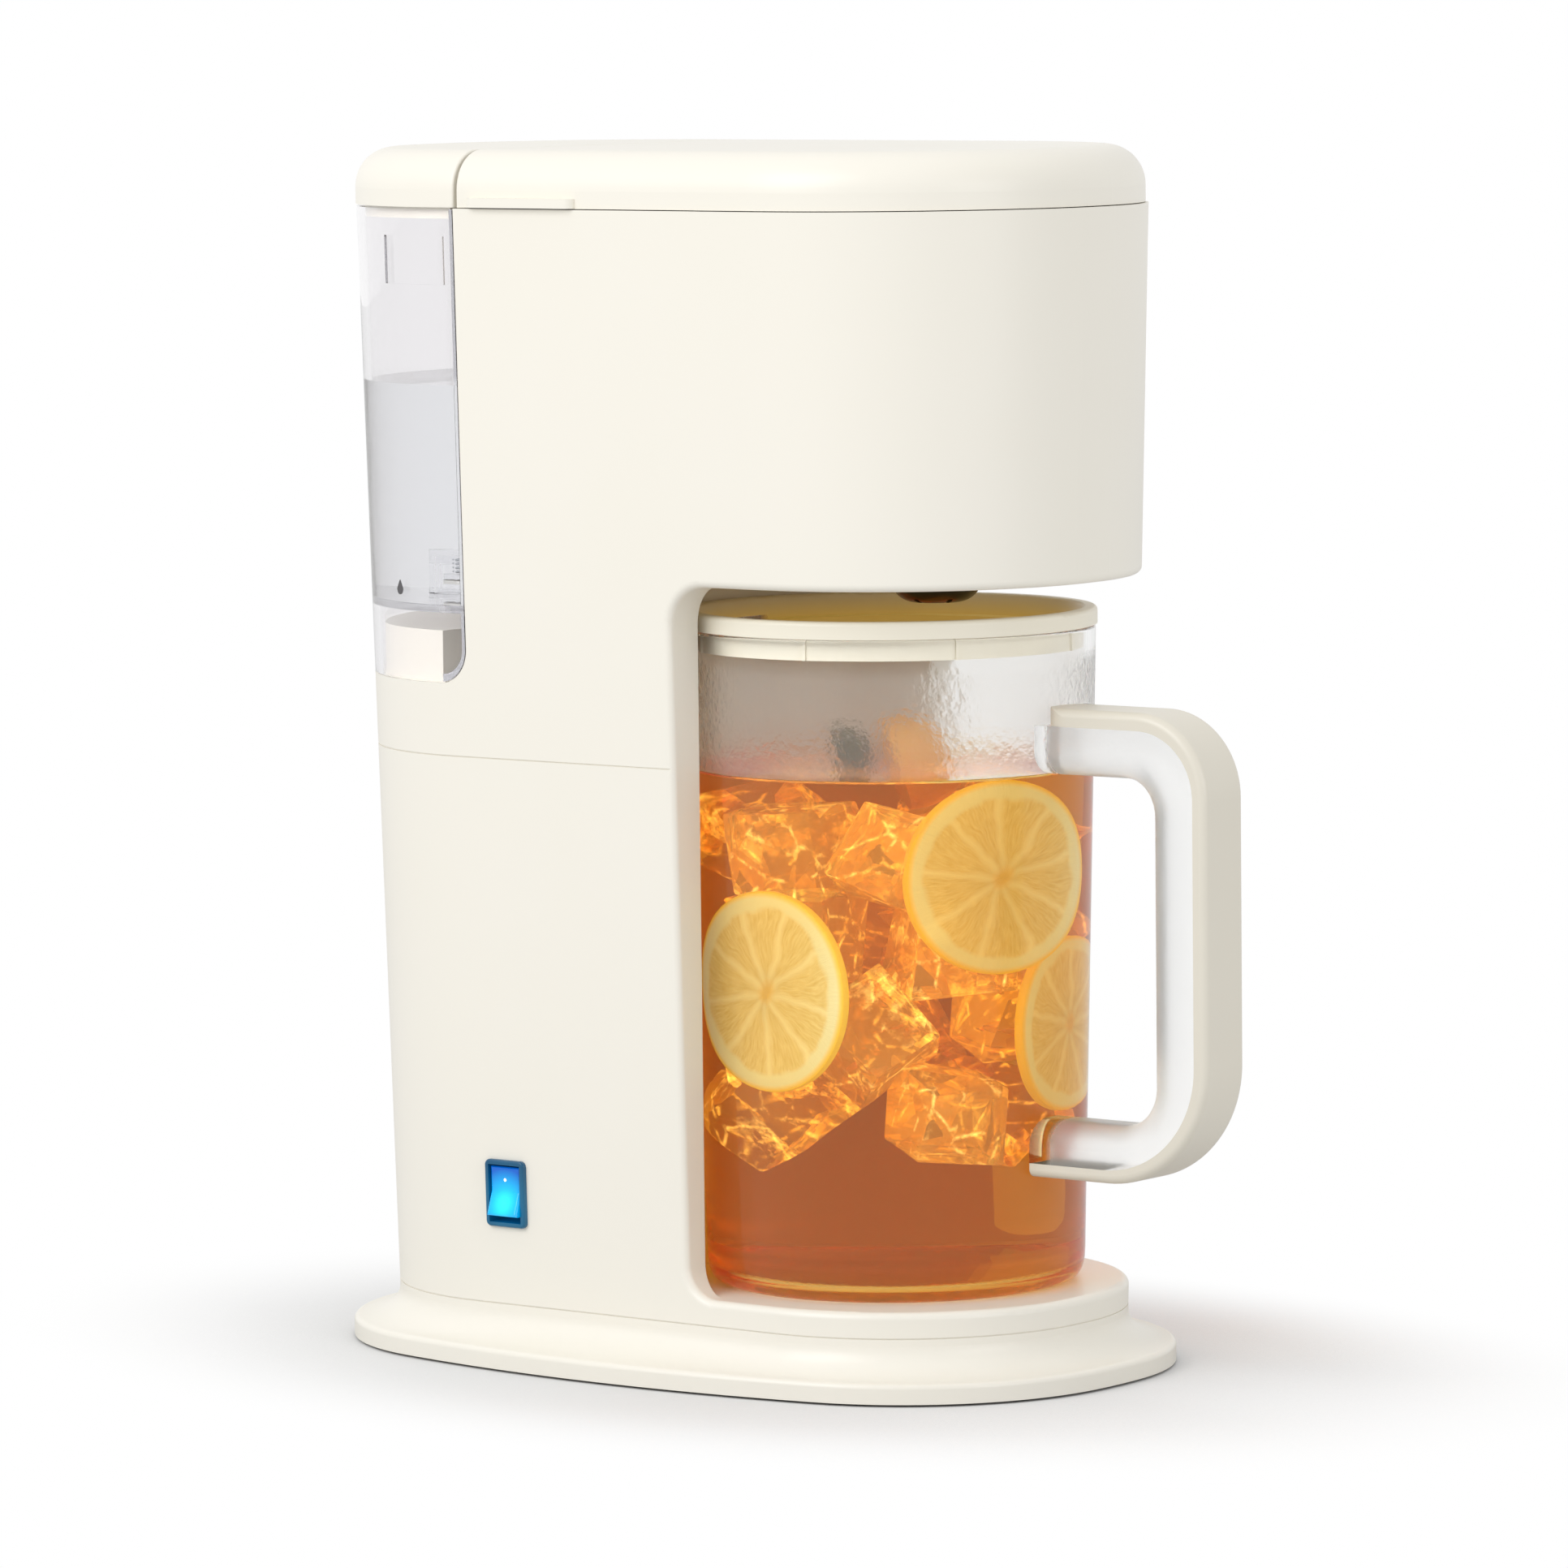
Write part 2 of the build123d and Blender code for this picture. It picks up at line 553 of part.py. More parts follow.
KNUCKLE_PLAY = 0.4
WEB = 9.0
NOZZLE_R = 14.5
LEDGE = 3.0
SEAT_INSET = TANK_WALL + 1.0
PORT_R = 12.0
knuckle_starts = [HINGE_FRONT_Y + n * KNUCKLE_LENGTH for n in range(KNUCKLE_COUNT)]
housing_starts = knuckle_starts[0::2]
lid_starts = knuckle_starts[1::2]


def knuckles(starts, flank, way):
    """Hinge knuckles with webs running up (1) or down (-1) to a flank."""
    length = KNUCKLE_LENGTH - KNUCKLE_PLAY
    with BuildPart() as barrels:
        for start in starts:
            with BuildSketch(Plane((0, start + KNUCKLE_PLAY / 2, HINGE_Z), **FACING_FRONT)):
                with Locations((HINGE_X, 0)):
                    Circle(KNUCKLE_R)
                with BuildLine():
                    Polyline((flank - WALL / 2, way * TANK_LIFT), (HINGE_X, way * TANK_LIFT),
                             (HINGE_X + KNUCKLE_R, 0), (flank, way * WEB), (flank - WALL / 2, way * WEB),
                             close=True)
                make_face()
            extrude(amount=-length)
    return barrels.part


def along_hinge(starts, radius, length):
    """Cylinders on the hinge axis, one for each knuckle."""
    with BuildPart() as rods:
        for start in starts:
            with Locations(Location((HINGE_X, start + KNUCKLE_LENGTH / 2, HINGE_Z), ALONG_Y)):
                Cylinder(radius, length)
    return rods.part


HINGE_Z = LID_SEAM_Z
pin_bores = along_hinge(knuckle_starts, PIN_R + PIN_PLAY, KNUCKLE_LENGTH + 1)
housing_knuckles = knuckles(housing_starts, flank_x(LID_SEAM_Z), -1)
lid_knuckles = knuckles(lid_starts, flank_x(LID_SEAM_Z) - LID_INSET, 1)
lid_knuckle_room = along_hinge(lid_starts, KNUCKLE_R + KNUCKLE_PLAY, KNUCKLE_LENGTH + KNUCKLE_PLAY)
housing_knuckle_room = along_hinge(housing_starts, KNUCKLE_R + KNUCKLE_PLAY, KNUCKLE_LENGTH + KNUCKLE_PLAY)

upper_outer = body_block(MID_SEAM_Z, LID_SEAM_Z)
upper_hollow = body_block(MID_SEAM_Z - 1, LID_SEAM_Z + 1, WALL) - body_bay_wall - tank_bay_block(WALL)
head_ledge = body_block(DECK_Z - 2 * WALL, DECK_Z - WALL, WALL - FIT)
head_ledge -= body_block(DECK_Z - FAR / 4, DECK_Z + WALL, WALL + LEDGE)
head_ledge &= slab(-FAR, TANK_Y - WALL, HEAD_Z, FAR)

with BuildPart() as upper_housing:
    add(upper_outer)
    add(body_bay, mode=Mode.SUBTRACT)
    fillet(skin_edges(upper_housing, MID_SEAM_Z + 1, HEAD_Z + 1), BAY_EDGE_R)
    add(tank_bay_block(), mode=Mode.SUBTRACT)
    add([upper_hollow, middle_seam], mode=Mode.SUBTRACT)
    with BuildSketch(Plane((0, BODY_Y, TANK_BAY_Z - WALL / 2))):
        add(body_outline(TANK_BAY_Z, SEAT_INSET))
        with Locations((0, -FAR / 2 + SEAT_Y - BODY_Y)):
            Rectangle(FAR, FAR, mode=Mode.SUBTRACT)
    extrude(amount=SEAT_TOP_Z - TANK_BAY_Z + WALL / 2)
    with BuildSketch(Plane((0, BODY_Y, TANK_BAY_Z - 2 * WALL))):
        add(body_outline(TANK_BAY_Z, SEAT_INSET + WALL))
        with Locations((0, -FAR / 2 + SEAT_Y + WALL - BODY_Y)):
            Rectangle(FAR, FAR, mode=Mode.SUBTRACT)
    extrude(amount=SEAT_TOP_Z - TANK_BAY_Z + WALL, mode=Mode.SUBTRACT)
    with Locations((0, PORT_Y, SEAT_TOP_Z)):
        Cylinder(PORT_R, 4 * WALL, mode=Mode.SUBTRACT)
    with Locations((0, BASKET_Y, HEAD_Z)):
        Cylinder(NOZZLE_R + GAP, 4 * WALL, mode=Mode.SUBTRACT)
    add([seam_bosses, deck_bosses, head_ledge])
    for x, y in both_sides(SEAM_SCREWS):
        with Locations((x, y, MID_SEAM_Z)):
            Cylinder(SCREW_HOLE_R, SEAM_BOSS_Z - MID_SEAM_Z - 1, align=UPRIGHT, mode=Mode.SUBTRACT)
    for x, y in both_sides(DECK_SCREWS):
        with Locations((x, y, DECK_Z - DECK_SCREW)):
            Cylinder(SCREW_HOLE_R, FAR / 4, align=UPRIGHT, mode=Mode.SUBTRACT)
    add(lid_knuckle_room, mode=Mode.SUBTRACT)
    add(housing_knuckles)
    add(pin_bores, mode=Mode.SUBTRACT)

housing_screws = screws(both_sides(SEAM_SCREWS), LUG_LOW_Z - SCREW_HEAD, SEAM_SCREW)

with BuildPart() as lid_hinge_pin:
    with Locations(Location((HINGE_X, HINGE_FRONT_Y, HINGE_Z), ALONG_Y)):
        Cylinder(PIN_R, KNUCKLE_COUNT * KNUCKLE_LENGTH, align=(Align.CENTER, Align.CENTER, Align.MAX))

# ---------------------------------------------------------------- brew head

SPOUT_Y = 48.0
SPOUT_R = 5.0
SPOUT_BORE_R = 2.6
SPOUT_TOP_Z = 368.0
SPOUT_LOW_Z = 338.0
SPOUT_LENGTH = 25.0
SPOUT_SHOULDER_Z = 348.0
SPOUT_FLANGE_R = 8.0
SPOUT_FLANGE_Z = 351.6
BARB_R = 3.2
DECK = 2.4
WELL_WALL = 2.0
WELL_HOLE_R = 9.0
NOZZLE_LOW_Z = 241.2
NOZZLE_TOP_Z = 251.2
NOZZLE_WALL = 1.8
NOZZLE_ROUND_R = 8.0
NOZZLE_HOLLOW_R = 6.5
NOZZLE_SLOTS = 6
NOZZLE_SLOT = 1.6

with BuildPart() as basket_well:
    add(body_block(DECK_Z - DECK, DECK_Z, WALL + FIT))
    add(slab(TANK_Y - WALL - FIT, FAR, 0, FAR), mode=Mode.SUBTRACT)
    with Locations((0, BASKET_Y, WELL_FLOOR_Z - DECK)):
        Cylinder(WELL_R + WELL_WALL, DECK_Z - WELL_FLOOR_Z, align=UPRIGHT)
    with Locations((0, BASKET_Y, WELL_FLOOR_Z)):
        Cylinder(WELL_R, FAR, align=UPRIGHT, mode=Mode.SUBTRACT)
    with Locations((0, BASKET_Y, WELL_FLOOR_Z)):
        Cylinder(WELL_HOLE_R, 4 * DECK, mode=Mode.SUBTRACT)
    with Locations((0, SPOUT_Y, DECK_Z)):
        Cylinder(SPOUT_R + FIT, 4 * DECK, mode=Mode.SUBTRACT)
    for x, y in both_sides(DECK_SCREWS):
        with Locations((x, y, DECK_Z)):
            Cylinder(SCREW_HOLE_R, 4 * DECK, mode=Mode.SUBTRACT)

deck_screws = screws(both_sides(DECK_SCREWS), DECK_Z + SCREW_HEAD, DECK_SCREW, up=False)

with BuildPart() as nozzle_hollow:
    with Locations((0, BASKET_Y, NOZZLE_LOW_Z + NOZZLE_WALL)):
        Cylinder(NOZZLE_R - NOZZLE_WALL, FAR / 8, align=UPRIGHT)
    fillet(nozzle_hollow.edges().group_by(Axis.Z)[0], NOZZLE_HOLLOW_R)

with BuildPart() as outlet_nozzle:
    with Locations((0, BASKET_Y, NOZZLE_LOW_Z)):
        Cylinder(NOZZLE_R, NOZZLE_TOP_Z - NOZZLE_LOW_Z, align=UPRIGHT)
        fillet(outlet_nozzle.edges().group_by(Axis.Z)[0], NOZZLE_ROUND_R)
    with Locations((0, BASKET_Y, NOZZLE_TOP_Z)):
        Cylinder(NOZZLE_R, WELL_FLOOR_Z - DECK - NOZZLE_TOP_Z, align=UPRIGHT)
    add(nozzle_hollow.part, mode=Mode.SUBTRACT)
    with Locations((0, BASKET_Y, NOZZLE_LOW_Z)):
        with PolarLocations(NOZZLE_R / 2, NOZZLE_SLOTS):
            Box(NOZZLE_R / 2, NOZZLE_SLOT, 6 * NOZZLE_WALL, mode=Mode.SUBTRACT)

BASKET_LOW_Z = 259.0
BASKET_LIFT = 0.4
BASKET_TOP_R = 51.6
BASKET_BASE_R = 46.0
BASKET_WALL = 2.0
BASKET_RIM = 2.2
BASKET_HOLE_R = 5.0
FILTER_GAP = 0.4
FILTER_LOW_Z = 272.0
FILTER_TOP_Z = 352.6
FILTER_RIM = 1.8
CROSS = 1.6             # height of the filter's cross and width of the basket's ribs
BASKET_RIBS = 8
BASKET_RIB_LENGTH = 31.0
BASKET_RIB_Z = 270.0
MESH = 0.6


def basket_r(z):
    """The basket's outside radius at height z."""
    return mix(BASKET_BASE_R, BASKET_TOP_R, (z - BASKET_LOW_Z) / (DECK_Z - BASKET_LOW_Z))


def turned(points, y):
    """A solid turned from half a profile, given as radius and height, about an upright axis at y."""
    with BuildPart() as solid:
        with BuildSketch(Plane((0, y, 0), **FACING_FRONT)):
            with BuildLine():
                Polyline(*points, close=True)
            make_face()
        revolve(axis=Axis((0, y, 0), (0, 0, 1)))
    return solid.part


rim_low = DECK_Z + BASKET_LIFT
rim_top = rim_low + BASKET_RIM
floor_top = BASKET_LOW_Z + BASKET_WALL
with BuildPart() as brew_basket:
    add(turned([(BASKET_HOLE_R, BASKET_LOW_Z), (basket_r(BASKET_LOW_Z), BASKET_LOW_Z),
                (basket_r(rim_low), rim_low), (BASKET_RIM_R, rim_low), (BASKET_RIM_R, rim_top),
                (basket_r(rim_low) - BASKET_WALL, rim_top), (basket_r(floor_top) - BASKET_WALL, floor_top),
                (BASKET_HOLE_R, floor_top)], BASKET_Y))
    with Locations((0, BASKET_Y, floor_top)):
        with PolarLocations((BASKET_BASE_R + BASKET_HOLE_R) / 2 - BASKET_WALL, BASKET_RIBS):
            Box(BASKET_RIB_LENGTH, CROSS, BASKET_RIB_Z - floor_top, align=UPRIGHT)

frame_r = basket_r(FILTER_LOW_Z) - BASKET_WALL - FILTER_GAP
frame_top_r = basket_r(FILTER_TOP_Z) - BASKET_WALL - FILTER_GAP
with BuildPart() as filter_frame:
    add(turned([(frame_r - FILTER_RIM, FILTER_LOW_Z), (frame_r, FILTER_LOW_Z), (frame_top_r, FILTER_TOP_Z),
                (frame_top_r - FILTER_RIM, FILTER_TOP_Z)], BASKET_Y))
    with Locations((0, BASKET_Y, FILTER_LOW_Z)):
        for turn in (0, 90):
            with Locations(Location((0, 0, 0), (0, 0, turn))):
                Box(2 * frame_r - FILTER_RIM, 2 * FILTER_RIM, CROSS, align=UPRIGHT)

with BuildPart() as filter_mesh:
    with Locations((0, BASKET_Y, FILTER_LOW_Z + CROSS)):
        Cylinder(frame_r - FILTER_RIM - TOUCH, MESH, align=UPRIGHT)

with BuildPart() as water_spout:
    with Locations((0, SPOUT_Y, SPOUT_LOW_Z)):
        Cylinder(BARB_R, SPOUT_LENGTH, align=UPRIGHT)
    with Locations((0, SPOUT_Y, SPOUT_SHOULDER_Z)):
        Cylinder(SPOUT_R, SPOUT_TOP_Z - SPOUT_SHOULDER_Z, align=UPRIGHT)
    with Locations((0, SPOUT_Y, SPOUT_FLANGE_Z)):
        Cylinder(SPOUT_FLANGE_R, DECK_Z - DECK - SPOUT_FLANGE_Z - TOUCH, align=UPRIGHT)
    with Locations((0, SPOUT_Y, SPOUT_LOW_Z)):
        Cylinder(SPOUT_BORE_R, 2 * SPOUT_LENGTH, align=UPRIGHT, mode=Mode.SUBTRACT)

# ---------------------------------------------------------------- water path in the column

HOSE_R = 4.6
VALVE_R = 6.5
VALVE_LOW_Z = 47.0
VALVE_TOP_Z = 68.0
PORT_BARB_Z = 204.0
THERMOSTAT_R = 7.5
THERMOSTAT = 8.0
FUSE_R = 2.0
FUSE_LENGTH = 14.0
FUSE_Y = 105.0
FUSE_LEAD_R = 0.6
FUSE_LEADS = 26.0
HEATER_ROUND_R = 6.5
THERMOSTAT_Y = 51.0
THERMOSTAT_PLATE = (23.0, 6.0, 1.0)
THERMOSTAT_BLADE = (0.8, 4.8, 7.0)
THERMOSTAT_BLADE_X = 3.4
VALVE_CUFF_R = 5.2
VALVE_CUFF = 6.0
VALVE_CUFF_BORE = 5.4
VALVE_BARB = 10.0
HOSE_PLAY = 1.0         # a hose stops short of the shoulder by this
HOSE_GRIP = 8.0         # and reaches this far over a barb
INLET_TURNS_Z = (102.0, 152.0)
INLET_TURN_R = 45.0
RISER_TURNS_Z = (80.0, 180.0)
RISER_TURN_R = 55.0


def leg_ends(z):
    """The heater's two leg positions at height z."""
    return [(HEATER_BEND_R, STUB_Y, z), (-HEATER_BEND_R, STUB_Y, z)]


with BuildPart() as heater:
    with BuildLine() as heater_path:
        Line((HEATER_BEND_R, HEATER_END_Y, HEATER_Z), (HEATER_BEND_R, HEATER_BEND_Y, HEATER_Z))
        TangentArc((HEATER_BEND_R, HEATER_BEND_Y, HEATER_Z), (-HEATER_BEND_R, HEATER_BEND_Y, HEATER_Z),
                   tangent=(0, -1, 0))
        Line((-HEATER_BEND_R, HEATER_BEND_Y, HEATER_Z), (-HEATER_BEND_R, HEATER_END_Y, HEATER_Z))
    with BuildSketch(Plane(origin=(HEATER_BEND_R, HEATER_END_Y, HEATER_Z), **FACING_FRONT)):
        RectangleRounded(HEATER_WIDTH, HEATER_HEIGHT, HEATER_ROUND_R)
    sweep(path=heater_path.wires()[0])
    with Locations(*leg_ends(HEATER_Z)):
        Cylinder(STUB_R, STUB_TOP_Z - HEATER_Z, align=UPRIGHT)

with BuildPart() as heater_strap:
    with Locations((0, STRAP_Y, HEATER_TOP_Z)):
        Box(2 * HEATER_BEND_R + HEATER_WIDTH, STRAP_WIDTH, STRAP, align=UPRIGHT)
    for x, y in STRAP_POSTS:
        with Locations((x, y, HEATER_TOP_Z)):
            Cylinder(SCREW_HOLE_R, 4 * STRAP, mode=Mode.SUBTRACT)

heater_screws = screws(STRAP_POSTS, HEATER_TOP_Z + STRAP + SCREW_HEAD, STRAP_SCREW, up=False)

with BuildPart() as thermostat:
    with Locations((0, THERMOSTAT_Y, HEATER_TOP_Z)):
        Cylinder(THERMOSTAT_R, THERMOSTAT, align=UPRIGHT)
        Box(*THERMOSTAT_PLATE, align=UPRIGHT)
    for x, y in both_sides([(THERMOSTAT_BLADE_X, THERMOSTAT_Y)]):
        with Locations((x, y, HEATER_TOP_Z + THERMOSTAT)):
            Box(*THERMOSTAT_BLADE, align=UPRIGHT)

with BuildPart() as thermal_fuses:
    for side in (1, -1):
        fuse_x = side * (HEATER_BEND_R - HEATER_WIDTH / 2 - FUSE_R)
        with Locations(Location((fuse_x, FUSE_Y, HEATER_Z), ALONG_Y)):
            Cylinder(FUSE_R, FUSE_LENGTH)
            Cylinder(FUSE_LEAD_R, FUSE_LEADS)

with BuildPart() as check_valve:
    with Locations((HEATER_BEND_R, STUB_Y, VALVE_LOW_Z)):
        Cylinder(VALVE_R, VALVE_TOP_Z - VALVE_LOW_Z, align=UPRIGHT)
        Cylinder(BARB_R, VALVE_TOP_Z - VALVE_LOW_Z + VALVE_BARB, align=UPRIGHT)
    with Locations((HEATER_BEND_R, STUB_Y, VALVE_LOW_Z - VALVE_CUFF)):
        Cylinder(VALVE_CUFF_R, VALVE_CUFF, align=UPRIGHT)
        Cylinder(STUB_R + TOUCH, VALVE_CUFF_BORE, align=UPRIGHT, mode=Mode.SUBTRACT)


def hose(route, radius, bore):
    """A hose along straight runs joined by arcs."""
    with BuildPart() as tube:
        with BuildLine() as path:
            FilletPolyline(*route, radius=radius)
        with BuildSketch(Plane(origin=route[0], z_dir=(0, 0, 1))):
            Circle(HOSE_R)
            Circle(bore, mode=Mode.SUBTRACT)
        sweep(path=path.wires()[0])
    return tube.part


inlet_route = [(HEATER_BEND_R, STUB_Y, VALVE_TOP_Z + HOSE_PLAY), (HEATER_BEND_R, STUB_Y, INLET_TURNS_Z[0]),
               (0, PORT_Y, INLET_TURNS_Z[1]), (0, PORT_Y, PORT_BARB_Z + HOSE_GRIP)]
riser_route = [(-HEATER_BEND_R, STUB_Y, HEATER_TOP_Z + HOSE_PLAY),
               (-HEATER_BEND_R, STUB_Y, RISER_TURNS_Z[0]),
               (0, SPOUT_Y, RISER_TURNS_Z[1]), (0, SPOUT_Y, SPOUT_LOW_Z + HOSE_GRIP)]
inlet_hose = hose(inlet_route, INLET_TURN_R, BARB_R + TOUCH)
riser_hose = hose(riser_route, RISER_TURN_R, STUB_R + TOUCH)

CUP_R = 7.9             # the port's cup, which the tank's outlet tube enters
CUP_FLOOR_Z = 218.0
CUP_LOW_Z = 214.5
CUP_OUTER_R = 10.0
PORT_FLANGE = 3.0
FLANGE = 2.0
PORT_BORE_R = 1.8
PUSH_PIN_R = 1.6
PUSH_PIN_LOW_Z = 216.0
PUSH_PIN_TOP_Z = 229.6
CUP_SPOKE = (15.9, 1.6, 4.0)
SEAL_LOW_R = 7.4
SEAL_HIGH_R = 10.6
SEAL_TOP_Z = 233.3
BLOCK_PLACE = (-48.0, 88.0)
BLOCK = (16.0, 30.0, 12.0)
BLOCK_HOLE_R = 2.6
BLOCK_HOLE = 3.0
BLOCK_PITCH = 9.0

flange_top_z = SEAT_TOP_Z - WALL - TOUCH
flange_low_z = SEAT_TOP_Z - WALL - FLANGE
with BuildPart() as tank_port:
    add(turned([(CUP_R, CUP_FLOOR_Z), (CUP_R, SEAT_TOP_Z), (PORT_R - FIT, SEAT_TOP_Z),
                (PORT_R - FIT, flange_top_z), (PORT_R + PORT_FLANGE, flange_top_z),
                (PORT_R + PORT_FLANGE, flange_low_z), (CUP_OUTER_R, flange_low_z),
                (CUP_OUTER_R, CUP_LOW_Z), (BARB_R, CUP_LOW_Z), (BARB_R, PORT_BARB_Z),
                (PORT_BORE_R, PORT_BARB_Z), (PORT_BORE_R, CUP_FLOOR_Z)], PORT_Y))
    with Locations((0, PORT_Y, PUSH_PIN_LOW_Z)):
        for turn in (0, 90):
            with Locations(Location((0, 0, 0), (0, 0, turn))):
                Box(*CUP_SPOKE, align=UPRIGHT)
        Cylinder(PUSH_PIN_R, PUSH_PIN_TOP_Z - PUSH_PIN_LOW_Z, align=UPRIGHT)

with BuildPart() as port_seal:
    add(turned([(SEAL_LOW_R, SEAT_TOP_Z + TOUCH), (SEAL_HIGH_R, SEAT_TOP_Z + TOUCH),
                (SEAL_HIGH_R, SEAL_TOP_Z), (SEAL_LOW_R, SEAL_TOP_Z)], PORT_Y))

with BuildPart() as terminal_block:
    with Locations((*BLOCK_PLACE, PAN_TOP_Z)):
        Box(*BLOCK, align=UPRIGHT)
    for step in (-1, 0, 1):
        with Locations((BLOCK_PLACE[0], BLOCK_PLACE[1] + step * BLOCK_PITCH, PAN_TOP_Z + BLOCK[2])):
            Cylinder(BLOCK_HOLE_R, 2 * BLOCK_HOLE, mode=Mode.SUBTRACT)

# ---------------------------------------------------------------- brew lid

LEDGE_FRONT_Y = 27.5
LEDGE_REAR_Y = 69.5
LEDGE_LOW_Z = 365.0
LEDGE_TOP_Z = 368.0
LEDGE_PROUD = 2.9
LEDGE_CORNER_R = 2.7
CHANNEL_Z = 372.0
CHANNEL_WIDTH = 26.0
CHANNEL_WALL = 1.6
CHANNEL_TAIL = 12.0     # the channel runs this far behind the spout
SHOWER_R = 24.0
SHOWER_HOLES = 8
SHOWER_HOLE_R = 1.5

crown_outer = crown_block(0)
crown_inner = crown_block(LID_WALL)

with BuildPart() as brew_lid:
    add(crown_outer)
    add(slab(-FAR, LID_REAR_Y, MID_SEAM_Z, FAR), mode=Mode.INTERSECT)
    fillet(end_edges(brew_lid.faces().sort_by(Axis.Y)[-1]), LID_END_R)
    lid_hollow = crown_inner & slab(-FAR, LID_REAR_Y - LID_WALL, MID_SEAM_Z, FAR)
    add(lid_hollow, mode=Mode.SUBTRACT)
    with BuildSketch(Plane.XY.offset(LEDGE_LOW_Z)):
        with Locations((-flank_x(LID_SEAM_Z) + LID_INSET, (LEDGE_FRONT_Y + LEDGE_REAR_Y) / 2)):
            RectangleRounded(2 * LEDGE_PROUD, LEDGE_REAR_Y - LEDGE_FRONT_Y, LEDGE_CORNER_R)
    extrude(amount=LEDGE_TOP_Z - LEDGE_LOW_Z)
    add(lid_hollow, mode=Mode.SUBTRACT)
    add(housing_knuckle_room, mode=Mode.SUBTRACT)
    add(lid_knuckles)
    add(pin_bores, mode=Mode.SUBTRACT)

channel_middle = (SPOUT_Y + BASKET_Y + CHANNEL_TAIL) / 2
channel_length = SPOUT_Y - BASKET_Y + CHANNEL_TAIL
with BuildPart() as spray_channel:
    with BuildSketch(Plane.XY.offset(CHANNEL_Z)):
        with Locations((0, channel_middle)):
            Rectangle(CHANNEL_WIDTH, channel_length)
        with Locations((0, BASKET_Y)):
            Circle(SHOWER_R)
    extrude(amount=TOP_Z - LID_WALL - FIT - CHANNEL_Z)
    with BuildSketch(Plane.XY.offset(CHANNEL_Z + CHANNEL_WALL)):
        with Locations((0, channel_middle)):
            Rectangle(CHANNEL_WIDTH - 2 * CHANNEL_WALL, channel_length - 2 * CHANNEL_WALL)
        with Locations((0, BASKET_Y)):
            Circle(SHOWER_R - CHANNEL_WALL)
    extrude(amount=TOP_Z - CHANNEL_Z, mode=Mode.SUBTRACT)
    with Locations((0, SPOUT_Y, CHANNEL_Z)):
        Cylinder(SPOUT_R, 4 * CHANNEL_WALL, mode=Mode.SUBTRACT)
    with Locations((0, BASKET_Y, CHANNEL_Z)):
        with PolarLocations(SHOWER_R / 2, SHOWER_HOLES):
            Cylinder(SHOWER_HOLE_R, 4 * CHANNEL_WALL, mode=Mode.SUBTRACT)

# ---------------------------------------------------------------- water tank

VALVE_TUBE_R = 7.0
VALVE_TUBE_BORE_R = 5.4
VALVE_TUBE_LOW_Z = 226.5
VALVE_BORE_R = 4.0
VALVE_LIFT = 3.0
STEM_R = 2.0
CAGE_R = 9.0
CAGE_WALL = 1.4
CAGE_TOP_Z = 254.0
CAGE_CAP = 2.0
DISC_R = 6.4
SEAL = 1.2
DISC = 2.0
SPRING_R = 4.2
SPRING_WIRE_R = 0.4
SPRING_TURNS = 4
STEM_LOW_Z = 230.0
STEM_TOP_Z = 258.5
STEM_PLAY = 0.1
CAGE_WINDOW = (4.8, 7.0, 8.0)
CAGE_WINDOW_Z = 241.5
CAGE_WINDOWS = 4

GRIP_FRONT_Y = 80.0
GRIP_REAR_Y = 108.5
GRIP_LOW_Z = 340.7
GRIP_TOP_Z = 355.9
GRIP_DEPTH = 1.0

with BuildPart() as finger_grips:
    with Locations((0, (GRIP_FRONT_Y + GRIP_REAR_Y) / 2, (GRIP_LOW_Z + GRIP_TOP_Z) / 2)):
        Box(FAR, GRIP_REAR_Y - GRIP_FRONT_Y, GRIP_TOP_Z - GRIP_LOW_Z)
    add(body_block(MID_SEAM_Z, LID_SEAM_Z, GRIP_DEPTH), mode=Mode.SUBTRACT)

with BuildPart() as water_tank:
    add(tank_block(TANK_BAY_Z + TANK_LIFT, LID_SEAM_Z - TANK_LIFT, 0, GAP))
    tank_inside = tank_block(TANK_FLOOR_TOP, FAR, TANK_WALL, GAP + TANK_WALL)
    skirt_inside = tank_block(TANK_BAY_Z - 1, TANK_FLOOR_LOW, TANK_WALL, GAP + TANK_WALL)
    skirt_mouth = body_block(TANK_BAY_Z - 1, TANK_BAY_Z + TANK_CORNER_R, TANK_WALL)
    skirt_mouth &= slab(TANK_Y + TANK_CORNER_R, FAR, 0, FAR)
    add([tank_inside, skirt_inside, skirt_mouth], mode=Mode.SUBTRACT)
    add(finger_grips.part, mode=Mode.SUBTRACT)
    with Locations((0, PORT_Y, VALVE_TUBE_LOW_Z)):
        Cylinder(VALVE_TUBE_R, TANK_FLOOR_TOP - VALVE_TUBE_LOW_Z, align=UPRIGHT)
        Cylinder(VALVE_TUBE_BORE_R, TANK_FLOOR_LOW - VALVE_TUBE_LOW_Z, align=UPRIGHT, mode=Mode.SUBTRACT)
        Cylinder(VALVE_BORE_R, FAR / 8, align=UPRIGHT, mode=Mode.SUBTRACT)

seal_z = TANK_FLOOR_TOP + VALVE_LIFT + TOUCH
disc_z = seal_z + SEAL
with BuildPart() as tank_valve_seal:
    add(turned([(STEM_R + TOUCH, seal_z), (DISC_R, seal_z), (DISC_R, disc_z), (STEM_R + TOUCH, disc_z)],
               PORT_Y))

